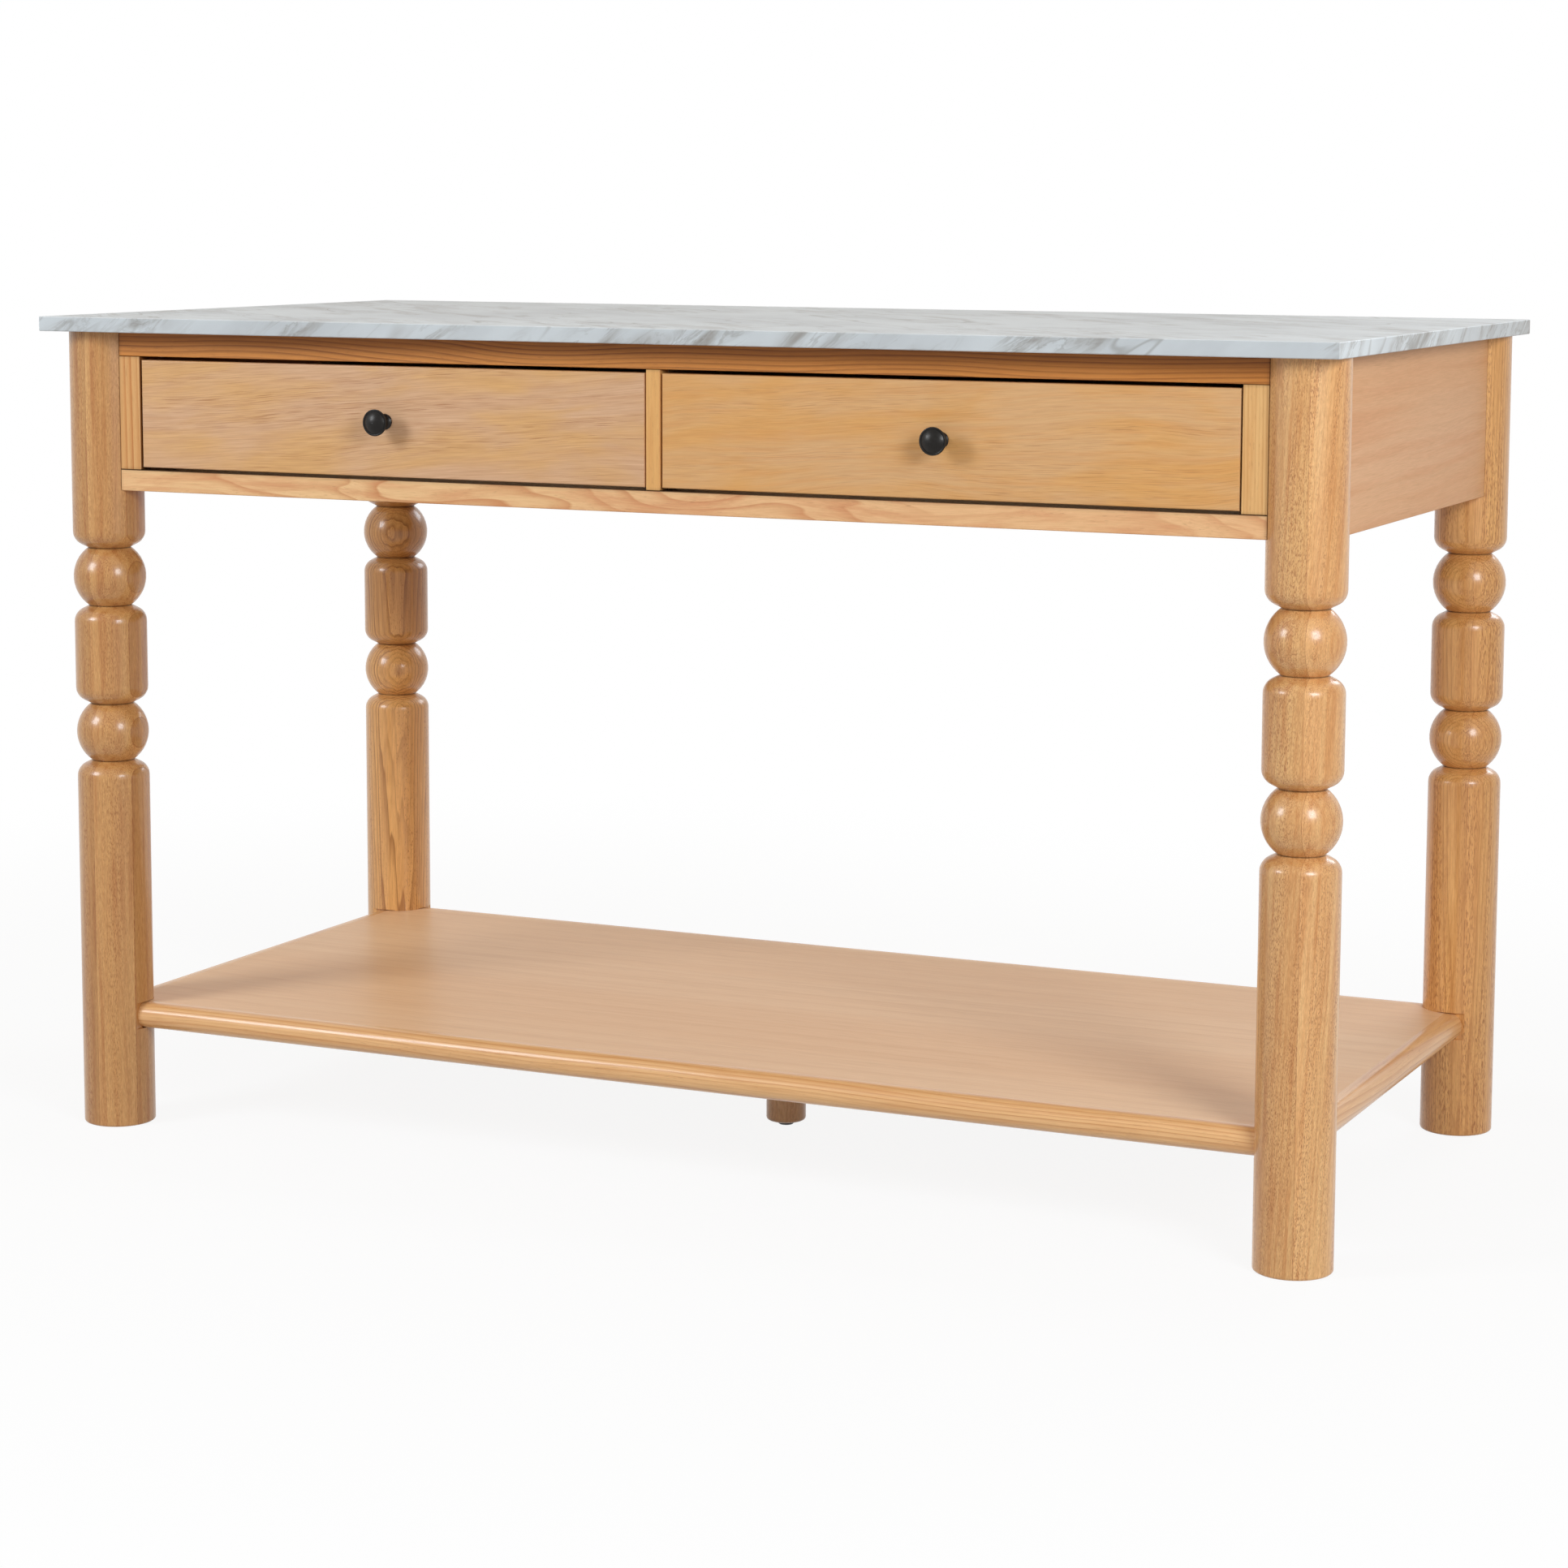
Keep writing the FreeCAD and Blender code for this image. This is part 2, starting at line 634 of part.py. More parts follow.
def make_shelf_panel():
    """The shelf's panel. Each corner is cut to seat on the two flats of its leg and to follow the
    round between them, with a bolt hole on the diagonal and a pocket for the bolt's head."""
    body = new_body("shelf_panel")
    place(body, "0", "0", SHELF_UNDER)
    flat_x, flat_y = f"({LEG_X} - shelf_flat)", f"({LEG_Y} - shelf_flat)"
    chord = "sqrt((leg_diameter / 2 + fit_gap)^2 - shelf_flat^2)"
    round_x, round_y = f"({LEG_X} - {chord})", f"({LEG_Y} - {chord})"
    edge_x, edge_y = (f"({leg} + nosing_reach - nosing_width)" for leg in (LEG_X, LEG_Y))
    seat = [(flat_x, edge_y), (flat_x, round_y), (round_x, flat_y), (edge_x, flat_y)]
    corners, arcs = [], {}
    for side_x, side_y in ((1, -1), (1, 1), (-1, 1), (-1, -1)):
        arcs[len(corners) + 1] = (f"{side_x} * {LEG_X}", f"{side_y} * {LEG_Y}", False)
        ordered = seat if side_x * side_y < 0 else seat[::-1]
        corners += [(f"{side_x} * {x}", f"{side_y} * {y}") for x, y in ordered]
    sketch = new_sketch(body, "shelf_outline")
    outline(sketch, corners, arcs)
    pad(body, sketch, "shelf_panel_thickness")
    for corner, side_x, side_y, turn in CORNERS:
        axis_x, axis_y = f"{side_x} * {LEG_X}", f"{side_y} * {LEG_Y}"
        heading = turn + DIAGONAL
        about_upright = FreeCAD.Rotation(FreeCAD.Vector(0, 1, 0), heading)
        hole = new_sketch(body, f"shelf_bolt_{corner}", "YZ_Plane", (axis_y, "0", axis_x), about_upright)
        circles(hole, [("0", "shelf_panel_thickness / 2")], "shelf_bolt_diameter + 0.6")
        pocket(body, hole, "shelf_pocket_start + 1", reverse=True)
        slot = new_sketch(body, f"shelf_pocket_{corner}", "XY_Plane", (axis_x, axis_y, "0"),
                          FreeCAD.Rotation(UP, heading))
        rectangle(slot, "shelf_pocket_start", "-shelf_pocket_width / 2",
                  "shelf_pocket_start + shelf_pocket_length", "shelf_pocket_width / 2")
        pocket(body, slot, "shelf_pocket_depth", reverse=True)
    drill(body, "shelf_stud_hole", "XY_Plane", [("0", "0")], "stud_diameter + 0.2",
          "stud_in_shelf + 1", reverse=True)
    keep(body, "shelf_panel")


def make_nosing(name, turn, half_length, leg_offset):
    """A half-round strip along one edge of the shelf, from leg to leg."""
    body = new_body(name)
    turned = FreeCAD.Rotation(UP, turn)
    place(body, "0", "0", "shelf_top - nosing_thickness", turned)
    tip = f"({leg_offset} + nosing_reach)"
    back, round_start = f"-({tip} - nosing_width)", f"-({tip} - nosing_thickness / 2)"
    sketch = new_sketch(body, f"{name}_profile", "YZ_Plane", ("0", "0", f"-({half_length})"))
    corners = [
        (round_start, "0"), (back, "0"), (back, "nosing_thickness"), (round_start, "nosing_thickness"),
    ]
    outline(sketch, corners, {3: (round_start, "nosing_thickness / 2", True)})
    pad(body, sketch, f"2 * ({half_length})")
    keep(body, name)


def make_nosings():
    along_x, along_y = f"{LEG_X} - shelf_flat", f"{LEG_Y} - shelf_flat"
    make_nosing("shelf_edge_front", 0, along_x, LEG_Y)
    make_nosing("shelf_edge_right", 90, along_y, LEG_X)
    make_nosing("shelf_edge_back", 180, along_x, LEG_Y)
    make_nosing("shelf_edge_left", 270, along_y, LEG_X)


def make_shelf_bolts():
    """A bolt on each corner's diagonal, from the pocket under the shelf into the leg."""
    bolt = headed("shelf_bolt", "shelf_bolt_head_diameter", "shelf_bolt_head_height",
                  "shelf_bolt_diameter", "shelf_pocket_start - shelf_bolt_root")
    outwards = FreeCAD.Placement(FreeCAD.Vector(), FreeCAD.Rotation(FreeCAD.Vector(0, 1, 0), -90))
    start, height = value("shelf_pocket_start"), value(SHELF_BOLT_HEIGHT)
    places = [at_corner(*corner[1:], start, 0, height).multiply(outwards) for corner in CORNERS]
    group("shelf_bolts", bolt, places)


def make_centre_foot():
    """A short turned foot on a stud under the middle of the shelf, with a screw-in glide."""
    radius = "foot_diameter / 2"
    foot = new_body("centre_foot")
    place(foot, "0", "0", "glide_height")
    profile = new_sketch(foot, "centre_foot_profile", "XZ_Plane")
    height = f"{SHELF_UNDER} - glide_height"
    outline(profile, [
        ("0", "0"), (f"{radius} - foot_round", "0"), (radius, "foot_round"), (radius, height), ("0", height),
    ], {1: (f"{radius} - foot_round", "foot_round", True)})
    revolve(foot, profile)
    drill(foot, "centre_foot_bore", "XY_Plane", [("0", "0")], "glide_stem_diameter + 0.2",
          "glide_stem_length + 2", reverse=True)
    drill(foot, "centre_foot_stud_hole", "XY_Plane", [("0", "0")], "stud_diameter + 0.2",
          "stud_in_foot + 1", height)
    keep(foot, "centre_foot")
    stud = doc.addObject("Part::Cylinder", "foot_stud")
    bind(stud, "Radius", "stud_diameter / 2")
    bind(stud, "Height", "stud_in_foot + stud_in_shelf")
    place(stud, "0", "0", f"{SHELF_UNDER} - stud_in_foot")
    keep(stud, "foot_stud")
    glide = new_body("foot_glide")
    place(glide, "0", "0", "0")
    profile = new_sketch(glide, "foot_glide_profile", "XZ_Plane")
    rim, stem = "glide_diameter / 2", "glide_stem_diameter / 2"
    outline(profile, [
        ("0", "0"), (f"{rim} - glide_height / 3", "0"), (rim, "glide_height / 3"), (rim, "glide_height"),
        (stem, "glide_height"), (stem, "glide_height + glide_stem_length"),
        ("0", "glide_height + glide_stem_length"),
    ])
    revolve(glide, profile)
    keep(glide, "foot_glide")


# Drawers

def make_drawer(name, side):
    """One drawer: front, two sides, back and bottom, glued and grooved together."""
    half = f"({OPENING_END} - {OPENING_START}) / 2"
    middle = f"{side} * {DRAWER_X}"
    front_low = f"{OPENING_LOW} + drawer_gap_bottom"
    box_low = f"({front_low} + drawer_side_lift)"
    box_high = f"({box_low} + drawer_side_height)"
    floor_low = f"({box_low} + drawer_bottom_lift)"
    floor_high = f"({floor_low} + drawer_bottom_thickness)"
    box_half = f"({half} - slide_space)"
    inner_half = f"({box_half} - drawer_side_thickness)"
    box_front, box_back = DRAWER_BACK_OF_FRONT, f"({DRAWER_BACK_OF_FRONT} + drawer_depth)"
    groove_half = f"({inner_half} + groove_depth)"
    groove_height = "drawer_bottom_thickness + groove_play"

    front_half = f"({half} - drawer_gap_side)"
    front_face = f"(-{APRON_FRONT} + drawer_recess)"
    front_high = f"{OPENING_TOP} - drawer_gap_top"
    front = new_body(f"{name}_front")
    place(front, middle, front_face, front_low)
    sketch = new_sketch(front, f"{name}_front_outline")
    rectangle(sketch, f"-{front_half}", "0", front_half, "drawer_front_thickness")
    pad(front, sketch, f"({front_high}) - ({front_low})")
    dress(front, "Fillet", "drawer_front_round", lambda edge: edge.BoundBox.YMax < 1e-6)
    groove = new_sketch(front, f"{name}_front_groove", "XY_Plane", ("0", "0", f"{floor_low} - ({front_low})"))
    rectangle(groove, f"-{groove_half}", "drawer_front_thickness - groove_depth",
              groove_half, "drawer_front_thickness + 1")
    pocket(front, groove, groove_height, reverse=True)
    knob_height = f"(({front_high}) - ({front_low})) / 2"
    drill(front, f"{name}_front_hole", "XZ_Plane", [("0", knob_height)], "knob_screw_diameter + 1",
          "drawer_front_thickness + 2", "1")
    keep(front, f"{name}_front")

    for hand, sign in (("left", -1), ("right", 1)):
        near, far = side_range(sign, inner_half, box_half)
        label = f"{name}_side_{hand}"
        low = (f"{middle} + {near}", box_front, box_low)
        panel = board(label, low, (f"{middle} + {far}", box_back, box_high))
        inside = "0" if sign > 0 else "drawer_side_thickness - groove_depth"
        slot = new_sketch(panel, f"{label}_groove", "XY_Plane", ("0", "0", "drawer_bottom_lift"))
        rectangle(slot, inside, "-1", f"{inside} + groove_depth", "drawer_depth + 1")
        pocket(panel, slot, groove_height, reverse=True)
        keep(panel, label)

    back = board(
        f"{name}_back",
        (f"{middle} - {inner_half}", f"{box_back} - drawer_side_thickness", floor_high),
        (f"{middle} + {inner_half}", box_back, box_high),
    )
    keep(back, f"{name}_back")
    bottom = board(
        f"{name}_bottom",
        (f"{middle} - {groove_half} + groove_play", f"{box_front} - groove_depth + groove_play", floor_low),
        (f"{middle} + {groove_half} - groove_play", box_back, floor_high),
    )
    keep(bottom, f"{name}_bottom")
    make_knob(name, middle, front_face, f"{front_low} + {knob_height}")


def make_knob(name, x, face, height):
    """A turned knob with a domed head, and the screw that holds it from inside the drawer."""
    base, neck, collar, rim = (
        f"knob_{part}diameter / 2" for part in ("base_", "neck_", "collar_", "")
    )
    collar_top = "(knob_collar_height + knob_collar_width)"
    rim_top = "(knob_rim_height + knob_rim_width)"

    def sweep(radius, height_there):
        """The centre of the hollow arc that leaves the neck upright and reaches a wider ring."""
        across, along = f"({radius} - {neck})", f"({height_there} - knob_neck_height)"
        return f"{neck} + ({across}^2 + {along}^2) / (2 * {across})"

    crown = f"({rim} - 2 * knob_step)"
    rise = f"(knob_projection - {rim_top})"
    dome_centre = f"knob_projection - ({crown}^2 + {rise}^2) / (2 * {rise})"
    knob = new_body(f"{name}_knob")
    place(knob, x, face, height, TOWARDS_USER)
    profile = new_sketch(knob, f"{name}_knob_profile", "XZ_Plane")
    outline(profile, [
        ("0", "0"),
        (base, "0"),
        (base, "knob_flange"),
        (neck, "knob_neck_height"),
        (collar, "knob_collar_height"),
        (collar, collar_top),
        (f"{collar} - knob_step", f"{collar_top} + knob_step"),
        (f"{rim} - knob_step", "knob_rim_height - knob_step"),
        (rim, "knob_rim_height"),
        (rim, rim_top),
        (f"{rim} - knob_step", f"{rim_top} + knob_step / 2"),
        (crown, rim_top),
        ("0", "knob_projection"),
    ], {
        2: (sweep(base, "knob_flange"), "knob_neck_height", False),
        3: (sweep(collar, "knob_collar_height"), "knob_neck_height", False),
        11: ("0", dome_centre, True),
    })
    revolve(knob, profile)
    drill(knob, f"{name}_knob_bore", "XY_Plane", [("0", "0")], "knob_screw_diameter + 0.2",
          "knob_screw_bite + 2", reverse=True)
    keep(knob, f"{name}_knob")
    screw = headed(f"{name}_knob_screw", "screw_head_diameter", "screw_head_height", "knob_screw_diameter",
                   "drawer_front_thickness + knob_screw_bite")
    place(screw, x, f"{face} + drawer_front_thickness", height, TOWARDS_USER)
    keep(screw, f"{name}_knob_screw")


# Drawer slides

def draw_channel(sketch, web, facing, flange, reach):
    """The outline of a bent channel. web is where its back stands, facing is the side that its
    flanges turn to, flange is their length and reach half the channel's height."""
    low, high = f"(slide_bend - ({reach}))", f"({reach} - slide_bend)"
    half_profile = [
        (flange, f"{reach} - slide_sheet"), (flange, reach), ("slide_bend", reach), ("0", high),
    ]
    corners = [(along, f"-({height})") for along, height in half_profile[::-1]]
    corners += [("slide_bend", f"slide_sheet - ({reach})"), ("slide_sheet", low)]
    corners += [("slide_sheet", high), ("slide_bend", f"{reach} - slide_sheet")]
    corners += half_profile
    centre = f"({web}) + {facing} * slide_bend"
    outside, inside = facing > 0, facing < 0
    bends = {
        0: (centre, low, outside),
        4: (centre, low, inside),
        6: (centre, high, inside),
        10: (centre, high, outside),
    }
    outline(sketch, [(f"({web}) + {facing} * ({along})", height) for along, height in corners], bends)


def make_slide(name, wall, heading):
    """A telescopic slide: an outer channel on the wall, a middle one, and an inner one on the drawer.
    heading is 1 where the drawer lies on the wall's +X side."""
    half = "slide_height / 2"
    step = "(slide_sheet + slide_play)"
    nested = f"slide_space - 2 * {step}"
    channels = (
        ("outer", "0", heading, "slide_flange", half),
        ("middle", f"{heading} * {step}", heading, nested, f"{half} - {step}"),
        ("inner", f"{heading} * slide_space", -heading, f"{nested} - slide_play", f"{half} - 2 * {step}"),
    )
    screw_places = ("slide_hole_end", "slide_length / 2", "slide_length - slide_hole_end")
    for member, web, facing, flange, reach in channels:
        label = f"{name}_slide_{member}"
        body = new_body(label)
        place(body, wall, SLIDE_FRONT, SLIDE_HEIGHT)
        sketch = new_sketch(body, f"{label}_profile", "XZ_Plane")
        draw_channel(sketch, web, facing, flange, reach)
        pad(body, sketch, "slide_length", reverse=True)
        if member != "middle":
            drill(body, f"{label}_holes", "YZ_Plane", [(along, "0") for along in screw_places],
                  "slide_hole_diameter", "2 * slide_sheet", web, facing > 0)
        keep(body, label)


def make_all():
    make_worktop()
    for corner in CORNERS:
        make_leg(*corner)
        make_corner_block(*corner)
    make_face_frame()
    make_apron_panels()
    make_slide_carriers()
    make_dowels()
    make_leg_fasteners()
    make_worktop_screws()
    make_shelf_panel()
    make_nosings()
    make_shelf_bolts()
    make_centre_foot()
    for name, side in (("drawer_left", -1), ("drawer_right", 1)):
        make_drawer(name, side)
        outer, inner = ("left", "right") if side < 0 else ("right", "left")
        make_slide(f"{name}_{outer}", f"{side} * {OPENING_END}", -side)
        make_slide(f"{name}_{inner}", f"{side} * {OPENING_START}", side)


def check_and_write():
    """Stops at the first failed feature or bad shape, then writes one file for each node."""
    doc.recompute()
    for item in doc.Objects:
        if "Invalid" in item.State or "Error" in item.State:
            raise RuntimeError(f"{item.Name} failed: {item.State}")
    for item in nodes:
        if item.Shape.isNull() or not item.Shape.isValid():
            raise RuntimeError(f"{item.Label} has no valid shape")
    os.makedirs("parts", exist_ok=True)
    for item in nodes:
        item.Shape.exportStep(f"parts/{item.Label}.step")
    print(f"{len(nodes)} nodes written")


make_all()
check_and_write()
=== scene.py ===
import math
from dataclasses import dataclass, replace

import bmesh
import bpy
from mathutils import Matrix, Vector


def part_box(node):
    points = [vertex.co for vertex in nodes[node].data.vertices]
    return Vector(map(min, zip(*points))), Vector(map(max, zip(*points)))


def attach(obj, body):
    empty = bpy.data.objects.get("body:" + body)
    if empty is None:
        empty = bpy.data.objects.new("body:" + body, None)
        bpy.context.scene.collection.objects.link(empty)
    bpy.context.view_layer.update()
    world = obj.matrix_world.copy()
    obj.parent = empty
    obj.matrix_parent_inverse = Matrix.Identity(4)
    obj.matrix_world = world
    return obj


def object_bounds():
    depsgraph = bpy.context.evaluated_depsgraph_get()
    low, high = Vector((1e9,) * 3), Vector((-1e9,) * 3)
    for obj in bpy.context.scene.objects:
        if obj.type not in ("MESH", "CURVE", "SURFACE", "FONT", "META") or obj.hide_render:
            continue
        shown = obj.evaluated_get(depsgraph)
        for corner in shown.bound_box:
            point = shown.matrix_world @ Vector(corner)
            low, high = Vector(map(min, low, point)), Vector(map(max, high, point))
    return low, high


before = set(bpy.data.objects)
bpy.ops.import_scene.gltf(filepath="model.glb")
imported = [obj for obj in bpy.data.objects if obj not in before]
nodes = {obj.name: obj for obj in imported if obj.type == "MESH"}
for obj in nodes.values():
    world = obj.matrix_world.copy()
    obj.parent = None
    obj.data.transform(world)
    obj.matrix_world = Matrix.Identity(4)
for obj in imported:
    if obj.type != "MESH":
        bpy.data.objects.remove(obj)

# Looks of the kitchen island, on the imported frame: materials, the slides' screws, light and camera.
# Places are in metres, in the frame's axes: X to the right, Y away from the drawers, Z up.
# Materials and screws are worked out in millimetres.

cad_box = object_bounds()
MM = 1000.0              # millimetres in a metre
AXES = {"X": (1, 0, 0), "Y": (0, 1, 0), "Z": (0, 0, 1)}


# Node trees

MIX_INPUTS = (0, 6, 7)   # a colour mix node's sockets for the amount and the two colours
MIX_RESULT = 2
NOISE_RANGE = (0.3, 0.7)  # where nearly all values of a noise lie
NOISE_MIDDLE = 0.5


def screen(red, green, blue):
    """A colour as it looks on screen, 0 to 255, in linear values by the sRGB curve."""
    def channel(value):
        value /= 255
        return value / 12.92 if value <= 0.04045 else ((value + 0.055) / 1.055) ** 2.4
    return (channel(red), channel(green), channel(blue), 1.0)


def grey(value):
    return (value, value, value, 1.0)


class Shader:
    """One material's node tree. Each method takes sockets or plain values and returns a socket."""

    def __init__(self, name, **uniform):
        self.material = bpy.data.materials.new(name)
        self.material.use_nodes = True
        self.tree = self.material.node_tree
        self.tree.nodes.clear()
        self.output = self.add("ShaderNodeOutputMaterial")
        self.surface = self.add("ShaderNodeBsdfPrincipled")
        self.put(self.output.inputs["Surface"], self.surface.outputs["BSDF"])
        for socket, value in uniform.items():
            self.set(socket.replace("_", " "), value)

    def add(self, kind, **settings):
        node = self.tree.nodes.new(kind)
        for name, value in settings.items():
            setattr(node, name, value)
        return node

    def put(self, socket, value):
        if isinstance(value, bpy.types.NodeSocket):
            self.tree.links.new(value, socket)
        else:
            socket.default_value = value

    def set(self, name, value):
        self.put(self.surface.inputs[name], value)

    def place(self):
        """Where a point is on the part at rest, in millimetres."""
        where = self.add("ShaderNodeTexCoord").outputs["Object"]
        return self.vector("SCALE", where, scale=MM)

    def vector(self, operation, first, second=(0, 0, 0), scale=1.0):
        node = self.add("ShaderNodeVectorMath", operation=operation)
        self.put(node.inputs[0], first)
        if operation == "SCALE":
            node.inputs["Scale"].default_value = scale
        else:
            self.put(node.inputs[1], second)
        return node.outputs["Value" if operation in ("DOT_PRODUCT", "LENGTH") else "Vector"]

    def along(self, where, axis):
        """A place's coordinate on one axis."""
        return self.vector("DOT_PRODUCT", where, AXES[axis])

    def math(self, operation, first, second=0.0):
        node = self.add("ShaderNodeMath", operation=operation)
        self.put(node.inputs[0], first)
        self.put(node.inputs[1], second)
        return node.outputs[0]

    def combine(self, x, y, z):
        node = self.add("ShaderNodeCombineXYZ")
        for socket, value in zip(node.inputs, (x, y, z)):
            self.put(socket, value)
        return node.outputs[0]

    def noise(self, where, scale=1.0, detail=2.0, roughness=0.5, distortion=0.0):
        node = self.add("ShaderNodeTexNoise")
        self.put(node.inputs["Vector"], where)
        for name, value in (("Scale", scale), ("Detail", detail), ("Roughness", roughness),
                            ("Distortion", distortion)):
            node.inputs[name].default_value = value
        return node.outputs["Fac"]

    def off_middle(self, noise):
        """How far a noise is above its middle value, or below it as a negative value."""
        return self.math("SUBTRACT", noise, NOISE_MIDDLE)

    def chance(self, number):
        """A value from 0 to 1 that is the same wherever the number is the same."""
        node = self.add("ShaderNodeTexWhiteNoise", noise_dimensions="1D")
        self.put(node.inputs["W"], number)
        return node.outputs["Value"]

    def remap(self, value, low, high, to_low=0.0, to_high=1.0, smooth=True):
        node = self.add("ShaderNodeMapRange", interpolation_type="SMOOTHSTEP" if smooth else "LINEAR")
        for socket, number in zip(node.inputs, (value, low, high, to_low, to_high)):
            self.put(socket, number)
        return node.outputs[0]

    def ramp(self, value, stops):
        """A curve through stops of (position, height)."""
        node = self.add("ShaderNodeValToRGB")
        elements = node.color_ramp.elements
        while len(elements) < len(stops):
            elements.new(0.5)
        for element, (position, height) in zip(elements, stops):
            element.position = position
            element.color = grey(height)
        self.put(node.inputs[0], value)
        return node.outputs[0]

    def mix(self, amount, first, second, blend="MIX"):
        node = self.add("ShaderNodeMix", data_type="RGBA", blend_type=blend)
        for index, value in zip(MIX_INPUTS, (amount, first, second)):
            self.put(node.inputs[index], value)
        return node.outputs[MIX_RESULT]

    def bump(self, height, depth):
        """Raises the surface by depth, in millimetres, where height is 1."""
        node = self.add("ShaderNodeBump")
        node.inputs["Distance"].default_value = depth / MM
        self.put(node.inputs["Height"], height)
        self.set("Normal", node.outputs[0])


# Wood

@dataclass
class Wood:
    """How a piece of wood looks. Sizes are in millimetres."""
    early: tuple                       # colour of the soft early wood
    late: tuple                        # colour of the hard late wood
    tint: tuple                        # colour of broad patches
    streak: tuple                      # colour of long streaks
    grain: str = "X"                   # the axis that the grain follows
    across: tuple = (0, 1, 0)          # direction through the growth layers
    layer: float = 5.0                 # thickness of a growth layer
    contrast: float = 0.5              # strength of the late wood
    drift: float = 8.0                 # how far the layers wander
    drift_size: float = 40.0           # over what distance they do so
    tint_amount: float = 0.5
    tint_size: float = 90.0
    tint_stretch: float = None         # as stretch, for the patches alone, None for the same
    streak_amount: float = 0.35
    streak_width: float = 5.0
    flow: float = 0.0                  # how far the grain itself swings sideways
    flow_size: float = 120.0
    lean: float = 0.0                  # slope of the fibres to the grain's axis
    sway: tuple = (1, 1, 1)            # 0 for an axis that the swing and the slope leave alone
    stretch: float = 0.035             # how much slower the figure changes along the grain
    fibre: float = 0.06                # light and dark of the fibres
    fibre_length: float = 33.0
    fleck_colour: tuple = screen(140, 86, 42)
    fleck_amount: float = 0.5
    fleck_cover: float = 0.5           # 0 for few flecks, 1 for many
    fleck_length: float = 9.0
    fleck_width: float = 0.9
    stave: float = 0.0                 # thickness of the glued staves, 0 for a single board
    stave_shift: float = 0.0           # where the first glue line lies, in staves
    stave_spread: float = 0.10         # how much lighter or darker a stave may be
    stave_pores: float = 1.0           # share of the pores that the plainest stave keeps
    # fade is painted shade on the top rail, the rear left leg and the apron's inner sides
    fade: tuple = ()                   # (axis, low, high, tone, tone): tones before low and after high
    seed: float = 0.0
    roughness: float = 0.42
    gloss: float = 0.25                # strength of the plain reflection
    coat: float = 0.08                 # strength of the lacquer's sharp reflection
    meets: tuple = ()                  # sides that butt against a neighbour, as (axis, -1 or 1)
    neck: float = 0.0                  # radius of a turned leg's narrow rings, 0 for other pieces


LACQUER = 0.18           # roughness of the clear coat
DEEPEN = (1.0, 1.3, 1.7)  # powers for red, green and blue, so that darker wood is also redder
SEED_REACH = (137.0, 71.0, 253.0)    # how far one step of the seed moves a piece through the wood
STAVE_REACH = (310.0, 170.0, 730.0)  # how far the most luck moves a stave through it

# Glue lines, in millimetres, and the pores of the staves
SEAM_CORE = 0.1          # half the width of the darkest part of a glue line
SEAM = 0.5               # half its whole width
SEAM_STRENGTH = 0.8
SEAM_BREAKS = (0.42, 0.60)  # from which fibres a glue line is broken to those where it is whole
PORE_LUCK = 7.31         # turns a stave's luck for its tone into that for its pores

# Figure
SWING_STRETCH = 0.45     # how much slower the swing changes along the grain
LAYER_RISE = ((0.0, 0.05), (0.5, 0.16), (0.82, 0.75), (0.93, 1.0), (1.0, 0.05))
FAINTEST_LAYER = 0.35
PATCH_RANGE = (0.36, 0.66)  # where the noise of the patches begins to show and where it shows in full
STREAK_RANGE = (0.42, 0.70)

# Fibres and pores
FIBRES_ACROSS = 1.1      # fibres to a millimetre
FIBRE_RANGE = (0.25, 0.75)
FEW_FLECKS = 0.66        # level of the noise from which a few flecks show
MANY_FLECKS = 0.54
FLECK_SOFTNESS = (0.04, 0.08)  # how far below and above that level a fleck's edge lies
CROWD_SIZE = 16.0        # of the loose crowds of flecks, in millimetres
CROWD_RANGE = (0.38, 0.62)
CROWD_LEAST = 0.1        # share of the flecks between the crowds
PORE_ROUGHNESS = 0.25    # how much rougher a pore is than the lacquer round it
FIBRE_RELIEF = 0.12      # height of the fibres, as a share of the pores' depth
PORE_DEPTH = 0.05        # in millimetres

# Dark lines in the finish, in millimetres, with painted shade beside the joints, in the necks and on the
# apron's inner sides
DARK_LINE_AND_SHADE_COLOUR = screen(44, 24, 11)
JOINT = 1.1              # width of the dark line where two pieces meet
JOINT_CORE = 0.33        # width of its darkest part
JOINT_STRENGTH = 0.9
JOINT_SHADE_REACH = 4.5         # how far beside it the finish has painted shade
# strength of the painted shade beside a joint
JOINT_SHADE_STRENGTH = 0.2
NECK_EDGE = 1.7          # how far above a neck's own radius the finish is darker, partly by painted shade
NECK_STRENGTH = 0.6
INNER_SHADE_EDGE = 0.4         # how far the painted shade of an inner side reaches into the piece
# painted shade on the sides towards the drawers, as a share of the wood's tone
INNER_SHADE_TONE = 0.3


def stretched(grain, along, across):
    """Scales for the three axes: one along the grain and one across it."""
    return tuple(along if unit else across for unit in AXES[grain])


def staves(shader, place, look):
    """Cuts the wood into staves across X. Gives each its own wood, and marks the glue lines."""
    across = shader.vector("DOT_PRODUCT", place, (1 / look.stave, 0, 0))
    across = shader.math("ADD", across, look.stave_shift)
    luck = shader.chance(shader.math("ADD", shader.math("FLOOR", across), look.seed))
    beside = shader.math("MULTIPLY", shader.math("PINGPONG", across, 0.5), look.stave)
    jump = shader.combine(*(shader.math("MULTIPLY", luck, reach) for reach in STAVE_REACH))
    return shader.vector("ADD", place, jump), luck, shader.remap(beside, SEAM_CORE, SEAM, 1, 0)


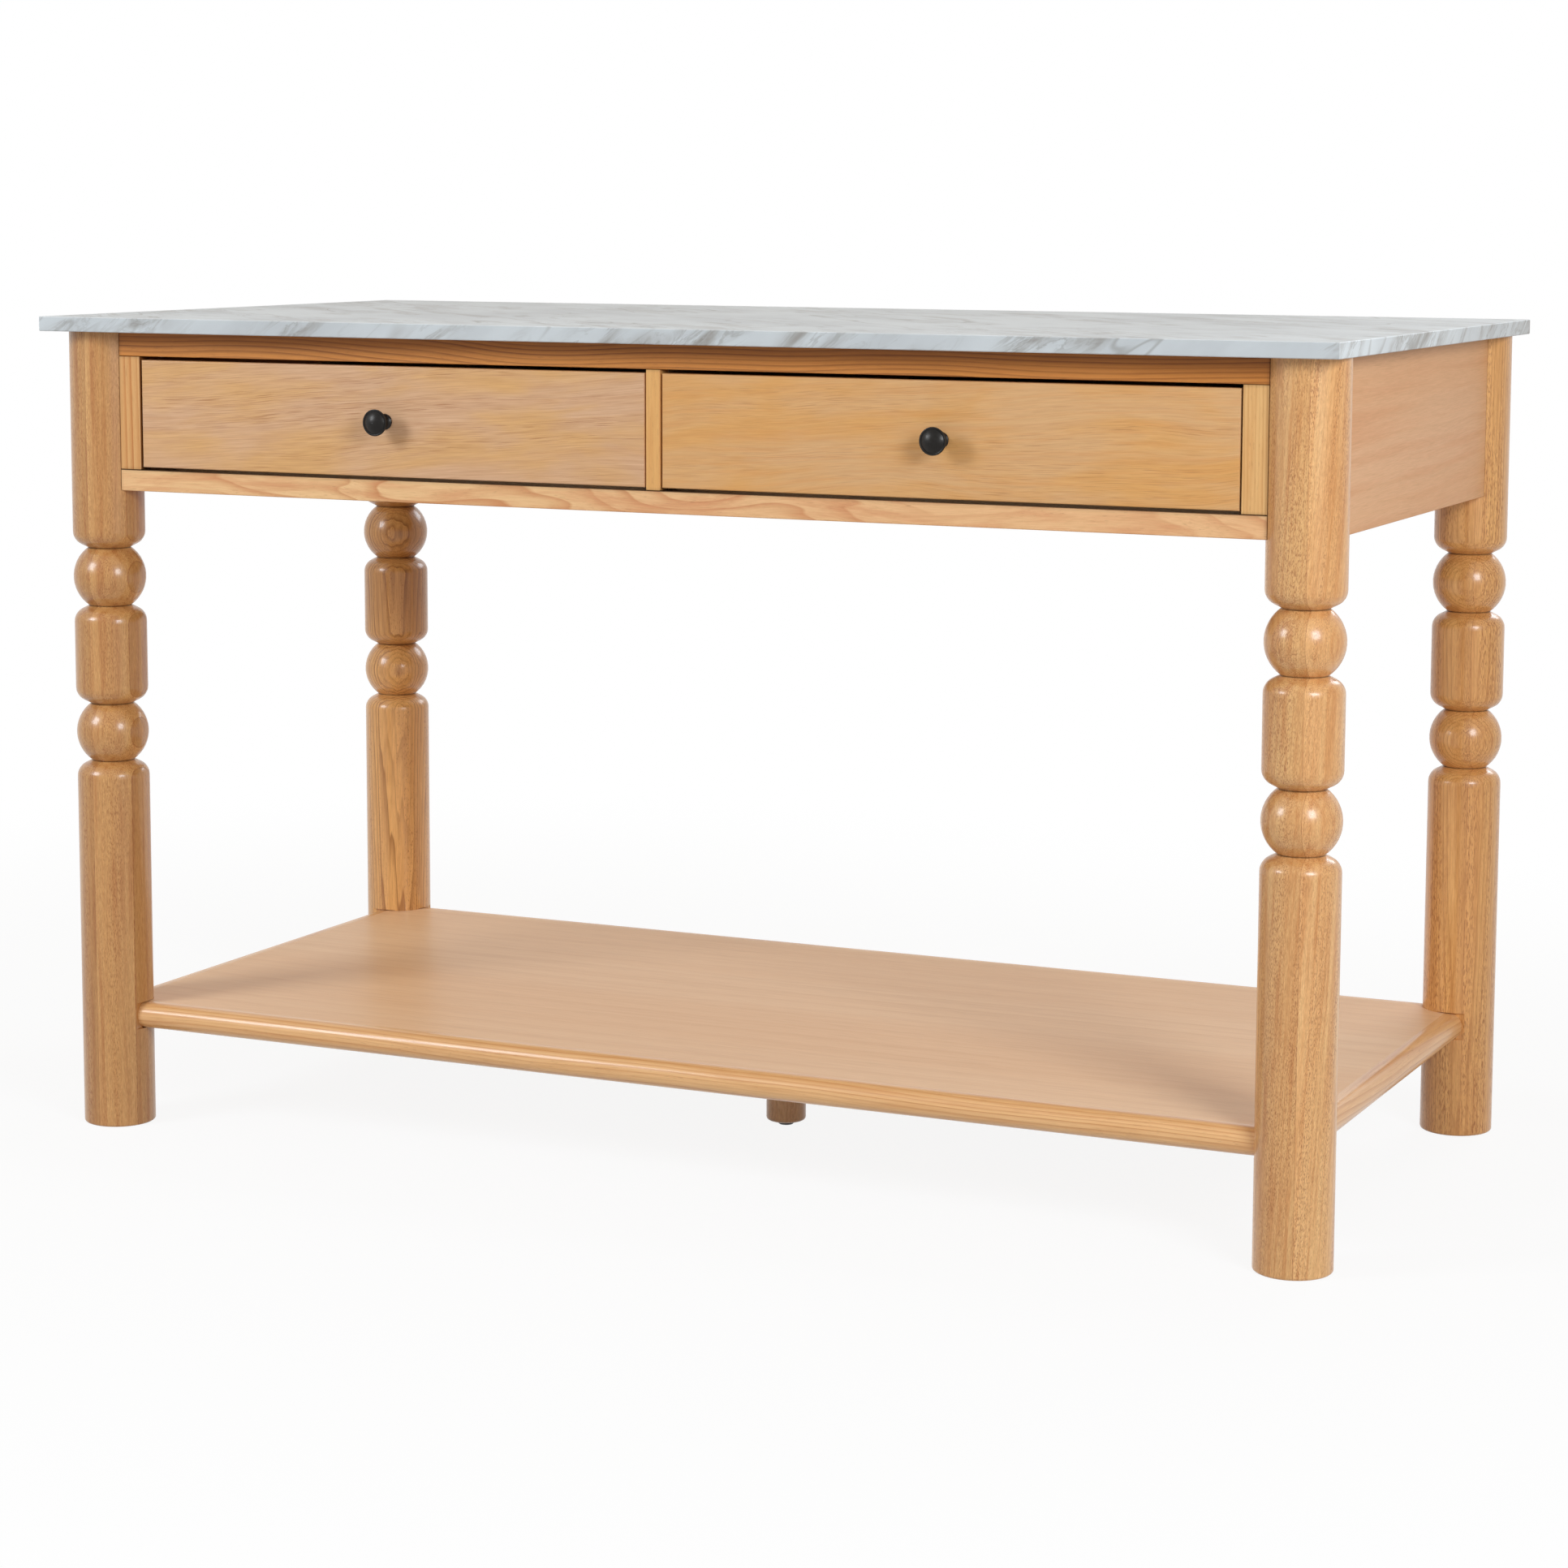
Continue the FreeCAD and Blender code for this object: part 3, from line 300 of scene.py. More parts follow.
def swung(shader, place, look):
    """The wood's own straight coordinates, where the fibres lean and swing on the piece."""
    slow = shader.vector("MULTIPLY", place, stretched(look.grain, SWING_STRETCH, 1.0))
    swing = shader.off_middle(shader.noise(slow, 1 / look.flow_size, detail=1))
    swing = shader.math("MULTIPLY", swing, 2 * look.flow)
    lean = shader.math("MULTIPLY", shader.along(place, look.grain), -look.lean)
    shift = shader.math("ADD", swing, lean)
    sideways = tuple(Vector(stretched(look.grain, 0.0, 1.0)) * Vector(look.sway))
    shift = shader.vector("MULTIPLY", shader.combine(shift, shift, shift), sideways)
    return shader.vector("ADD", place, shift)


def growth(shader, grain, look):
    """How far each point is into the late wood of its growth layer, 0 to 1."""
    wander = shader.off_middle(shader.noise(grain, 1 / look.drift_size, detail=2, roughness=0.45))
    wander = shader.math("MULTIPLY", wander, 2 * look.drift)
    depth = shader.vector("DOT_PRODUCT", grain, tuple(Vector(look.across).normalized()))
    layers = shader.math("DIVIDE", shader.math("ADD", depth, wander), look.layer)
    rise = shader.ramp(shader.math("FRACT", layers), LAYER_RISE)
    strength = shader.chance(shader.math("FLOOR", layers))
    strength = shader.remap(strength, 0, 1, FAINTEST_LAYER, 1.0, smooth=False)
    return shader.math("MULTIPLY", rise, strength)


def patches(shader, place, look):
    """Broad patches, 0 to 1."""
    stretch = look.tint_stretch or look.stretch
    cloudy = shader.vector("MULTIPLY", place, stretched(look.grain, stretch, 1.0))
    clouds = shader.noise(cloudy, 1 / look.tint_size, detail=3, roughness=0.55, distortion=0.3)
    return shader.math("MULTIPLY", shader.remap(clouds, *PATCH_RANGE), look.tint_amount)


def streaks(shader, grain, look):
    """Long soft streaks of deeper colour, 0 to 1."""
    lines = shader.noise(grain, 1 / look.streak_width, detail=4, roughness=0.62)
    return shader.math("MULTIPLY", shader.remap(lines, *STREAK_RANGE), look.streak_amount)


def figure(shader, place, grain, look):
    """The colour of the growth layers with the patches and streaks over them."""
    late = shader.math("MULTIPLY", growth(shader, grain, look), look.contrast)
    colour = shader.mix(late, look.early, look.late)
    colour = shader.mix(patches(shader, place, look), colour, look.tint)
    return shader.mix(streaks(shader, grain, look), colour, look.streak)


def fibres(shader, place, look):
    fine = shader.vector("MULTIPLY", place, stretched(look.grain, 1 / look.fibre_length, FIBRES_ACROSS))
    return shader.noise(fine, 1.0, detail=3, roughness=0.6)


def shaded(shader, colour, fibre, tone, look):
    """A colour made lighter and darker by the fibres and by the tone, which holds the staves' spread and
    the fade, painted shade on most pieces.
    """
    shade = shader.remap(fibre, *FIBRE_RANGE, 1 - look.fibre, 1 + look.fibre, smooth=False)
    shade = shader.math("MULTIPLY", shade, tone)
    shades = shader.combine(*(shader.math("POWER", shade, power) for power in DEEPEN))
    return shader.mix(1.0, colour, shades, blend="MULTIPLY")


def flecks(shader, place, grain, look):
    """Open pores: short dark dashes along the grain, in loose crowds."""
    tiny = stretched(look.grain, 1 / look.fleck_length, 1 / look.fleck_width)
    spots = shader.noise(shader.vector("MULTIPLY", place, tiny), 1.0, detail=1, roughness=0.4)
    edge = FEW_FLECKS + (MANY_FLECKS - FEW_FLECKS) * look.fleck_cover
    below, above = FLECK_SOFTNESS
    spots = shader.remap(spots, edge - below, edge + above)
    crowd = shader.remap(shader.noise(grain, 1 / CROWD_SIZE, detail=2), *CROWD_RANGE, CROWD_LEAST, 1.0)
    return shader.math("MULTIPLY", shader.math("MULTIPLY", spots, crowd), look.fleck_amount)


def stave_pores(shader, luck, look):
    """The share of its pores that each stave keeps."""
    pores = shader.math("FRACT", shader.math("MULTIPLY", luck, PORE_LUCK))
    return shader.remap(pores, 0, 1, look.stave_pores, 1, smooth=False)


def joint_lines_and_shade(shader, spot, name, look):
    """The dark lines at the sides where a piece butts against its neighbours, partly dark joints and partly
    painted contact shade, with painted shade spreading a little beside them, 0 to 1.
    """
    low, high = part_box(name)
    lines = 0.0
    for axis, side in look.meets:
        end = (high if side > 0 else low).dot(AXES[axis]) * MM
        inside = shader.math("ABSOLUTE", shader.math("SUBTRACT", shader.along(spot, axis), end))
        core = shader.remap(inside, JOINT_CORE, JOINT, JOINT_STRENGTH, 0)
        painted_shade = shader.remap(inside, 0, JOINT_SHADE_REACH, JOINT_SHADE_STRENGTH, 0)
        lines = shader.math("MAXIMUM", lines, shader.math("MAXIMUM", core, painted_shade))
    return lines


def neck_rings_and_shade(shader, spot, name, look):
    """Darkening in the narrow rings of a turned leg, partly finish gathered there and partly painted shade
    in the grooves, 0 to 1.
    """
    low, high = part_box(name)
    from_axis = shader.vector("SUBTRACT", spot, tuple((low + high) / 2 * MM))
    radius = shader.vector("LENGTH", shader.vector("MULTIPLY", from_axis, (1, 1, 0)))
    return shader.remap(radius, look.neck, look.neck + NECK_EDGE, NECK_STRENGTH, 0)


def wood(name, look):
    """Growth layers that wander along the grain, broad patches, streaks, fibres and open pores."""
    shader = Shader(name, Specular_IOR_Level=look.gloss, Coat_Weight=look.coat, Coat_Roughness=LACQUER)
    spot = shader.place()
    place = spot
    tone = 1.0
    if look.stave:
        place, luck, seam = staves(shader, spot, look)
        tone = shader.remap(luck, 0, 1, 1 - look.stave_spread, 1 + look.stave_spread, smooth=False)
    # The fade: a tone along one axis, painted shade on the top rail, the rear left leg and the apron's
    # inner sides
    if look.fade:
        axis, *stops = look.fade
        tone = shader.math("MULTIPLY", tone, shader.remap(shader.along(spot, axis), *stops))
    place = shader.vector("ADD", place, tuple(look.seed * reach for reach in SEED_REACH))
    place = swung(shader, place, look)
    grain = shader.vector("MULTIPLY", place, stretched(look.grain, look.stretch, 1.0))

    fibre = fibres(shader, place, look)
    colour = shaded(shader, figure(shader, place, grain, look), fibre, tone, look)
    hollow = flecks(shader, place, grain, look)
    if look.stave:
        hollow = shader.math("MULTIPLY", hollow, stave_pores(shader, luck, look))
    colour = shader.mix(hollow, colour, look.fleck_colour)
    if look.stave:
        seam = shader.math("MULTIPLY", seam, shader.remap(fibre, *SEAM_BREAKS))
        colour = shader.mix(shader.math("MULTIPLY", seam, SEAM_STRENGTH), colour, look.fleck_colour)
        hollow = shader.math("MAXIMUM", hollow, seam)
    # Dark joint lines, partly painted contact shade, with painted shade beside them
    if look.meets:
        colour = shader.mix(joint_lines_and_shade(shader, spot, name, look), colour, DARK_LINE_AND_SHADE_COLOUR)
    # Neck rings: dark finish in the grooves with painted shade
    if look.neck:
        colour = shader.mix(neck_rings_and_shade(shader, spot, name, look), colour, DARK_LINE_AND_SHADE_COLOUR)

    shader.set("Base Color", colour)
    shader.set("Roughness", shader.remap(hollow, 0, 1, look.roughness, look.roughness + PORE_ROUGHNESS))
    shader.bump(shader.math("SUBTRACT", shader.math("MULTIPLY", fibre, FIBRE_RELIEF), hollow), PORE_DEPTH)
    return shader.material


# Kinds of wood

HONEY = Wood(
    early=screen(236, 188, 126), late=screen(196, 130, 70), tint=screen(222, 150, 84),
    streak=screen(200, 122, 60), grain="Z", layer=5.0, contrast=0.55, drift=7.0, drift_size=30.0,
    tint_amount=0.55, tint_size=40.0, streak_amount=0.6, streak_width=7.0, flow=3.0, flow_size=110.0,
    fibre=0.2, fibre_length=8.0, fleck_colour=screen(140, 72, 26), fleck_length=3.8, fleck_width=0.95,
    fleck_amount=0.6, fleck_cover=0.9, stave=44.0, neck=23.5, roughness=0.36, gloss=0.35, coat=0.5,
)
PINE = Wood(
    early=screen(230, 176, 110), late=screen(166, 98, 42), tint=screen(218, 148, 80),
    streak=screen(200, 130, 66), layer=4.0, contrast=0.85, drift=5.0, drift_size=26.0, tint_amount=0.35,
    streak_amount=0.3, streak_width=6.0, flow=10.0, flow_size=150.0, stretch=0.05, fibre=0.08,
    fleck_colour=screen(120, 68, 32), fleck_length=9.0, fleck_width=1.0, fleck_amount=0.2, fleck_cover=0.0,
    roughness=0.40, coat=0.12,
)
VENEER = Wood(
    early=screen(222, 172, 132), late=screen(200, 146, 98), tint=screen(222, 166, 96),
    streak=screen(214, 148, 100), across=(0.1, 1, 0.5), layer=9.0, contrast=0.3, drift=10.0,
    drift_size=60.0, tint_amount=0.8, tint_size=90.0, streak_amount=0.45, streak_width=14.0, flow=18.0,
    flow_size=150.0, lean=0.07, sway=(0, 0, 1), fibre=0.15, fibre_length=30.0,
    fleck_colour=screen(158, 104, 62), fleck_length=34.0, fleck_width=0.8, fleck_amount=0.3,
    fleck_cover=0.6, roughness=0.45,
)
SHELF = Wood(
    early=screen(238, 198, 156), late=screen(226, 180, 134), tint=screen(230, 182, 134),
    streak=screen(220, 170, 124), across=(0, 1, 0.3), layer=38.0, contrast=0.5, drift=12.0,
    drift_size=120.0, tint_amount=0.5, tint_size=160.0, streak_amount=0.3, streak_width=12.0, flow=5.0,
    flow_size=200.0, fibre=0.06, fleck_length=50.0, fleck_width=1.0, fleck_amount=0.14, fleck_cover=0.2,
    roughness=0.42, gloss=0.2, coat=0.04,
)
PALE = Wood(
    early=screen(222, 196, 154), late=screen(202, 170, 122), tint=screen(214, 186, 144),
    streak=screen(206, 176, 132), layer=6.0, contrast=0.5, drift=8.0, fleck_amount=0.2, roughness=0.55,
    gloss=0.2, coat=0.0,
)

# Looks of the single pieces

ENDS = {axis: ((axis, -1), (axis, 1)) for axis in AXES}
RAIL_LOW, RAIL_HIGH = (corner.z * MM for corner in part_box("top_rail"))
RAIL_SHADE_INSET = 2.0          # how far inside the top rail's edges its painted shade starts and ends


def drawer_gap_shade(name, side):
    """The fade of a piece at one end of the apron: painted shade on its side towards the drawers, so that
    the gaps round the drawers look dark.
    """
    low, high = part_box(name)
    if side == "left":
        return ("X", high.x * MM - INNER_SHADE_EDGE, high.x * MM, 1.0, INNER_SHADE_TONE)
    return ("X", low.x * MM, low.x * MM + INNER_SHADE_EDGE, INNER_SHADE_TONE, 1.0)


LEG_LOOKS = {
    "leg_front_left": replace(
        HONEY, seed=1.0, across=(1, 0.3, 0.3), stave=36.0, stave_shift=0.278, stave_spread=0.14,
        stave_pores=0.3, fade=("Z", 450.0, 650.0, 0.98, 0.94), early=screen(208, 160, 100),
        tint=screen(185, 127, 69), streak=screen(166, 100, 46)),
    "leg_front_right": replace(
        HONEY, seed=2.0, across=(1, 0.25, 0.3), stave_shift=0.966, stave_spread=0.09, lean=0.05,
        fleck_length=3.0, fleck_width=0.8, fleck_amount=0.55, early=screen(228, 180, 120),
        tint=screen(212, 148, 87), streak=screen(192, 124, 64)),
    "leg_rear_right": replace(
        HONEY, seed=3.0, across=(0.25, -0.97, 0.4), stave=40.0, stave_shift=0.3, layer=2.8, drift=4.0,
        drift_size=18.0, contrast=0.85, fibre_length=25.0, fleck_length=6.0, early=screen(234, 178, 110),
        late=screen(166, 104, 50), tint=screen(218, 154, 86), streak=screen(190, 122, 60),
        streak_amount=0.4),
    # The rear left leg's fade is painted shade: lighter low down, darker towards the top under the apron.
    "leg_rear_left": replace(
        HONEY, seed=4.0, across=(0.515, -0.857, 0.8), stave=0.0, layer=2.8, drift=5.0, drift_size=16.0,
        contrast=0.9, fibre_length=25.0, fleck_cover=0.3, fade=("Z", 430.0, 560.0, 1.15, 0.8),
        early=screen(220, 164, 98), late=screen(124, 68, 26), tint=screen(204, 146, 82), tint_amount=0.4,
        streak=screen(164, 104, 52), streak_amount=0.3),
}
FRAME_LOOKS = {
    # The top rail's fade is painted shade: darker towards its top, under the slab's overhang.
    "top_rail": replace(
        PINE, seed=5.0, meets=ENDS["X"], across=(0.2, 0.45, 1), layer=4.6, drift=3.0, drift_size=30.0,
        fade=("Z", RAIL_LOW + RAIL_SHADE_INSET, RAIL_HIGH - RAIL_SHADE_INSET, 1.12, 0.74), contrast=1.0, flow=16.0,
        flow_size=170.0, early=screen(199, 128, 59), late=screen(108, 53, 16), tint=screen(176, 103, 42)),
    "bottom_rail": replace(
        PINE, seed=6.0, meets=(*ENDS["X"], ("Z", 1)), across=(0.6, 1, 0.2), layer=6.5, drift=15.0,
        drift_size=40.0, stretch=0.10, contrast=0.8, flow=18.0, flow_size=120.0,
        early=screen(234, 192, 141), late=screen(194, 126, 80), tint=screen(222, 165, 121),
        streak=screen(206, 136, 94), streak_amount=0.5, streak_width=10.0, gloss=0.1, coat=0.0),
    # The outer stiles' fade is painted shade on their sides towards the drawers.
    "stile_left": replace(
        PINE, seed=7.0, meets=(*ENDS["Z"], ("X", -1)), fade=drawer_gap_shade("stile_left", "left"), grain="Z",
        across=(1, 0.2, 0.1), layer=8.0, drift=1.5, flow=1.5, contrast=1.0, early=screen(212, 168, 112),
        late=screen(156, 85, 34)),
    "stile_right": replace(
        PINE, seed=8.0, meets=(*ENDS["Z"], ("X", 1)), fade=drawer_gap_shade("stile_right", "right"), grain="Z",
        across=(1, 0.1, 0.1), layer=3.6, drift=1.2, flow=1.0, contrast=0.7, early=screen(223, 177, 117),
        late=screen(184, 121, 63)),
    "centre_stile": replace(
        PINE, seed=9.0, meets=ENDS["Z"], grain="Z", across=(1, 0.4, 0), layer=9.0, drift=2.0, flow=1.0,
        contrast=0.3, early=screen(224, 178, 112)),
}
FRONT_LOOKS = {
    "left": replace(
        VENEER, seed=10.0, early=screen(208, 166, 130), tint=screen(212, 162, 100), tint_size=55.0,
        tint_stretch=0.3, streak=screen(182, 128, 82), streak_amount=0.22, streak_width=2.4, fibre=0.12,
        fibre_length=40.0, fleck_length=38.0, fleck_width=0.55, fleck_amount=0.6),
    "right": replace(
        VENEER, seed=11.0, early=screen(211, 166, 117), tint=screen(213, 156, 88), tint_size=50.0,
        tint_stretch=0.3, streak=screen(206, 138, 72), streak_amount=0.3, streak_width=5.0, lean=0.05,
        flow=24.0, flow_size=130.0, fibre=0.08, fleck_width=0.6, fleck_amount=0.4),
}
PANEL_LOOK = replace(
    VENEER, meets=ENDS["Y"], grain="Y", across=(1, 0.1, 0.2), early=screen(228, 178, 134),
    tint=screen(224, 168, 118), fibre=0.07, lean=0.02, fleck_amount=0.12, flow=8.0, gloss=0.15, coat=0.0)
BACK_LOOK = replace(VENEER, seed=40.0, meets=ENDS["X"])
DIVIDER_LOOK = replace(PALE, seed=41.0, grain="Y", across=(1, 0, 0.3))
SHELF_LOOK = replace(SHELF, seed=42.0)
EDGE_LOOK = replace(
    PINE, across=(0.2, 0.4, 1), layer=4.5, drift=5.0, contrast=0.75, flow=6.0, early=screen(236, 188, 132),
    late=screen(186, 118, 60), tint=screen(224, 162, 100), coat=0.5)
FOOT_LOOK = replace(
    HONEY, seed=48.0, stave=0.0, neck=0.0, across=(1, 0.5, 0), early=screen(246, 206, 158),
    late=screen(216, 164, 112), tint=screen(236, 184, 128), streak_amount=0.2, fleck_amount=0.2)
BLOCK_LOOK = replace(PALE, across=(0.2, 0.3, 1))
DOWEL_LOOK = replace(PALE, seed=55.0, layer=2.0)
BOX_GRAIN = {"side_left": ("Y", (1, 0.3, 0.4)), "side_right": ("Y", (1, 0.3, 0.4)),
             "back": ("X", (0.1, 1, 0.4)), "bottom": ("X", (0, 0.2, 1))}
DRAWER_SEEDS = {"left": 20.0, "right": 30.0}
PANEL_SEED = 5.0         # added to the seed of the drawer on that side
BATTEN_SEED = 6.0
FIRST_EDGE_SEED = 43
FIRST_BLOCK_SEED = 50


def paint(name, material):
    """Puts a material into the slot of a node of the frame."""
    nodes[name].material_slots[0].material = material


def paint_wood(name, look):
    paint(name, wood(name, look))


def paint_drawer(side):
    paint_wood(f"drawer_{side}_front", FRONT_LOOKS[side])
    for step, (piece, (grain, across)) in enumerate(BOX_GRAIN.items()):
        look = replace(PALE, seed=DRAWER_SEEDS[side] + step, grain=grain, across=across)
        paint_wood(f"drawer_{side}_{piece}", look)


def paint_apron():
    for name, look in FRAME_LOOKS.items():
        paint_wood(name, look)
    for side, seed in DRAWER_SEEDS.items():
        # The panel's fade is painted shade on its side towards the drawers.
        panel = f"side_panel_{side}"
        paint_wood(panel, replace(PANEL_LOOK, seed=seed + PANEL_SEED, fade=drawer_gap_shade(panel, side)))
        paint_wood(f"slide_batten_{side}", replace(PALE, seed=seed + BATTEN_SEED, grain="Y"))
    paint_wood("back_panel", BACK_LOOK)
    paint_wood("centre_divider", DIVIDER_LOOK)
    corners = ("front_left", "front_right", "rear_right", "rear_left")
    for seed, corner in enumerate(corners, start=FIRST_BLOCK_SEED):
        paint_wood(f"corner_block_{corner}", replace(BLOCK_LOOK, seed=seed))
    paint_wood("dowels", DOWEL_LOOK)


def paint_shelf():
    paint_wood("shelf_panel", SHELF_LOOK)
    grains = {"front": "X", "back": "X", "left": "Y", "right": "Y"}
    for seed, (side, grain) in enumerate(grains.items(), start=FIRST_EDGE_SEED):
        paint_wood(f"shelf_edge_{side}", replace(EDGE_LOOK, seed=seed, grain=grain))
    paint_wood("centre_foot", FOOT_LOOK)


# Slab, in millimetres

SLAB_TOP = cad_box[1][2] * MM
SLAB_END = cad_box[1][0] * MM
FACE_EDGE = 1.0          # how far from the top and the ends their painted light begins
# Painted light on the slab: the long edges darker, the ends and the top lighter, by how the faces catch the
# light
LONG_EDGE_PAINTED_SHADE = 0.93
END_PAINTED_LIGHT = 1.27
TOP_PAINTED_LIGHT = 1.36
TOP_VEINS = 0.55         # how strong the veins are on the top, next to the edges
VEIN_RISE = 0.7          # how steeply the veins climb on the slab's edges
STREAKY = (1.0, 0.12, 0.2)  # scales across the veins, level along them and up along them
BROAD = (1.0, 0.3, 0.4)
STONE = screen(206, 211, 213)
STONE_CLOUD = screen(193, 197, 199)
STONE_BAND = screen(148, 142, 135)
STONE_THREAD = screen(128, 122, 113)
STONE_VEIN = screen(140, 136, 130)
CLOUD_SIZE = 85.0
CLOUD_RANGE = (0.36, 0.68)
CLUSTER_SIZE = 60.0
CLUSTER_RANGE = (0.42, 0.58)
BAND_SIZE = 20.0
BAND_RANGE = (0.42, 0.72)
BAND_STRENGTH = 0.9
THREAD_WIDTH = 0.03      # how far the noise of the threads may be from its middle
THREAD_STRENGTH = 0.35
VEIN_SIZE = 75.0
VEIN_WIDTH = 0.012
VEIN_STRENGTH = 0.5
BREAK_SIZE = 160.0       # of the stretches where the veins show
BREAK_RANGE = (0.38, 0.60)
SPECKLE = 0.6            # speckles to a millimetre
STONE_ROUGHNESS = (0.46, 0.55)
SPECKLE_DEPTH = 0.012


def vein_axes(shader, place):
    """The place in axes that are turned to the veins, the first one across them."""
    across = Vector((-VEIN_RISE, -VEIN_RISE, 1)).normalized()
    level = across.cross(Vector(AXES["Z"])).normalized()
    axes = (across, level, across.cross(level))
    return shader.combine(*(shader.vector("DOT_PRODUCT", place, tuple(axis)) for axis in axes))


def middle_lines(shader, noise, width):
    """Thin lines where a noise has its middle value, 0 to 1."""
    return shader.remap(shader.math("ABSOLUTE", shader.off_middle(noise)), 0.0, width, 1, 0)


def stone_colour(shader, place, strength):
    """Clouds, and in clusters slanting bands with dark threads. Long thin veins run through them."""
    turned = vein_axes(shader, place)
    streaky = shader.vector("MULTIPLY", turned, STREAKY)
    broad = shader.vector("MULTIPLY", turned, BROAD)
    clouds = shader.noise(broad, 1 / CLOUD_SIZE, detail=4, roughness=0.6)
    colour = shader.mix(shader.remap(clouds, *CLOUD_RANGE), STONE, STONE_CLOUD)
    cluster = shader.remap(shader.noise(broad, 1 / CLUSTER_SIZE, detail=2), *CLUSTER_RANGE)
    cluster = shader.math("MULTIPLY", cluster, strength)
    bands = shader.noise(streaky, 1 / BAND_SIZE, detail=5, roughness=0.6, distortion=0.7)
    bands = shader.math("MULTIPLY", shader.remap(bands, *BAND_RANGE), cluster)
    colour = shader.mix(shader.math("MULTIPLY", bands, BAND_STRENGTH), colour, STONE_BAND)
    threads = shader.noise(streaky, 1 / BAND_SIZE, detail=5, roughness=0.6, distortion=1.2)
    threads = shader.math("MULTIPLY", middle_lines(shader, threads, THREAD_WIDTH), cluster)
    colour = shader.mix(shader.math("MULTIPLY", threads, THREAD_STRENGTH), colour, STONE_THREAD)
    veins = shader.noise(streaky, 1 / VEIN_SIZE, detail=3, roughness=0.45, distortion=0.3)
    whole = shader.remap(shader.noise(place, 1 / BREAK_SIZE, detail=2), *BREAK_RANGE)
    veins = shader.math("MULTIPLY", middle_lines(shader, veins, VEIN_WIDTH), whole)
    return shader.mix(shader.math("MULTIPLY", veins, VEIN_STRENGTH), colour, STONE_VEIN)


def slab_material():
    """A pale cool stone look, with painted light: the long edges painted darkest, the ends lighter and the
    top lightest.
    """
    shader = Shader("slab", Specular_IOR_Level=0.18)
    place = shader.place()
    height = shader.along(place, "Z")
    strength = shader.remap(height, SLAB_TOP - FACE_EDGE, SLAB_TOP, 1.0, TOP_VEINS)
    colour = stone_colour(shader, place, strength)
    # Painted light: the long edges darker, the ends lighter and the top lightest
    sideways = shader.math("ABSOLUTE", shader.along(place, "X"))
    edge = shader.remap(sideways, SLAB_END - FACE_EDGE, SLAB_END, LONG_EDGE_PAINTED_SHADE, END_PAINTED_LIGHT)
    tone = shader.remap(height, SLAB_TOP - FACE_EDGE, SLAB_TOP, edge, TOP_PAINTED_LIGHT)
    colour = shader.mix(1.0, colour, shader.combine(tone, tone, tone), blend="MULTIPLY")
    shader.set("Base Color", colour)
    speckle = shader.noise(place, SPECKLE, detail=3)
    shader.set("Roughness", shader.remap(speckle, *NOISE_RANGE, *STONE_ROUGHNESS))
    shader.bump(speckle, SPECKLE_DEPTH)
    return shader.material


# Metal and plastic, with textures as cells to a millimetre and depths in millimetres

KNOB_SHEEN = (1.0, 0.92, 0.85, 1.0)
KNOB_BLACK = (screen(6, 6, 6), screen(12, 12, 12))
KNOB_ROUGHNESS = (0.30, 0.38)
KNOB_MOTTLE = 0.35
ORANGE_PEEL = 1.6
PEEL_DEPTH = 0.006
ROLL_MARKS = (0.02, 2.2)  # along and across the rolling
MARK_STRENGTH = 0.3
MARK_TONE = 0.7
MARK_DEPTH = 0.01
BLOOM = 0.09             # cloudy patches of the zinc
BLOOM_RANGE = (0.35, 0.65)
BLOOM_TONE = 0.86
STEEL_ROUGHNESS = (0.28, 0.46)
SLIDE_TONE = 0.62
FASTENER_TONE = 0.58
GLIDE_DARK = (screen(34, 33, 32), screen(52, 50, 48))
GLIDE_GRAIN = 2.4
GLIDE_DEPTH = 0.03
FASTENERS = ("leg_bolts", "leg_washers", "leg_nuts", "worktop_screws", "shelf_bolts", "foot_stud",
             "drawer_left_knob_screw", "drawer_right_knob_screw")


def knob_material():
    """Satin black paint with a faint orange-peel texture."""
    shader = Shader("knob_black", Specular_IOR_Level=0.30, Specular_Tint=KNOB_SHEEN)
    place = shader.place()
    mottle = shader.noise(place, KNOB_MOTTLE, detail=3)
    shader.set("Base Color", shader.mix(shader.remap(mottle, *NOISE_RANGE), *KNOB_BLACK))
    shader.set("Roughness", shader.remap(mottle, *NOISE_RANGE, *KNOB_ROUGHNESS))
    shader.bump(shader.noise(place, ORANGE_PEEL, detail=2), PEEL_DEPTH)
    return shader.material


def steel_material(name, grain, tone):
    """Zinc-plated steel with rolling marks along one axis."""
    shader = Shader(name, Metallic=1.0)
    place = shader.place()
    marks = shader.noise(shader.vector("MULTIPLY", place, stretched(grain, *ROLL_MARKS)), 1.0, detail=3)
    bloom = shader.remap(shader.noise(place, BLOOM, detail=3), *BLOOM_RANGE)
    colour = shader.mix(bloom, grey(tone), grey(tone * BLOOM_TONE))
    marked = shader.remap(marks, *NOISE_RANGE, 0, MARK_STRENGTH)
    shader.set("Base Color", shader.mix(marked, colour, grey(tone * MARK_TONE)))
    shader.set("Roughness", shader.remap(marks, *NOISE_RANGE, *STEEL_ROUGHNESS))
    shader.bump(marks, MARK_DEPTH)
    return shader.material


def glide_material():
    """Dark moulded plastic with a fine grain."""
    shader = Shader("glide_plastic", Roughness=0.55)
    grain = shader.noise(shader.place(), GLIDE_GRAIN, detail=2)
    shader.set("Base Color", shader.mix(grain, *GLIDE_DARK))
    shader.bump(grain, GLIDE_DEPTH)
    return shader.material


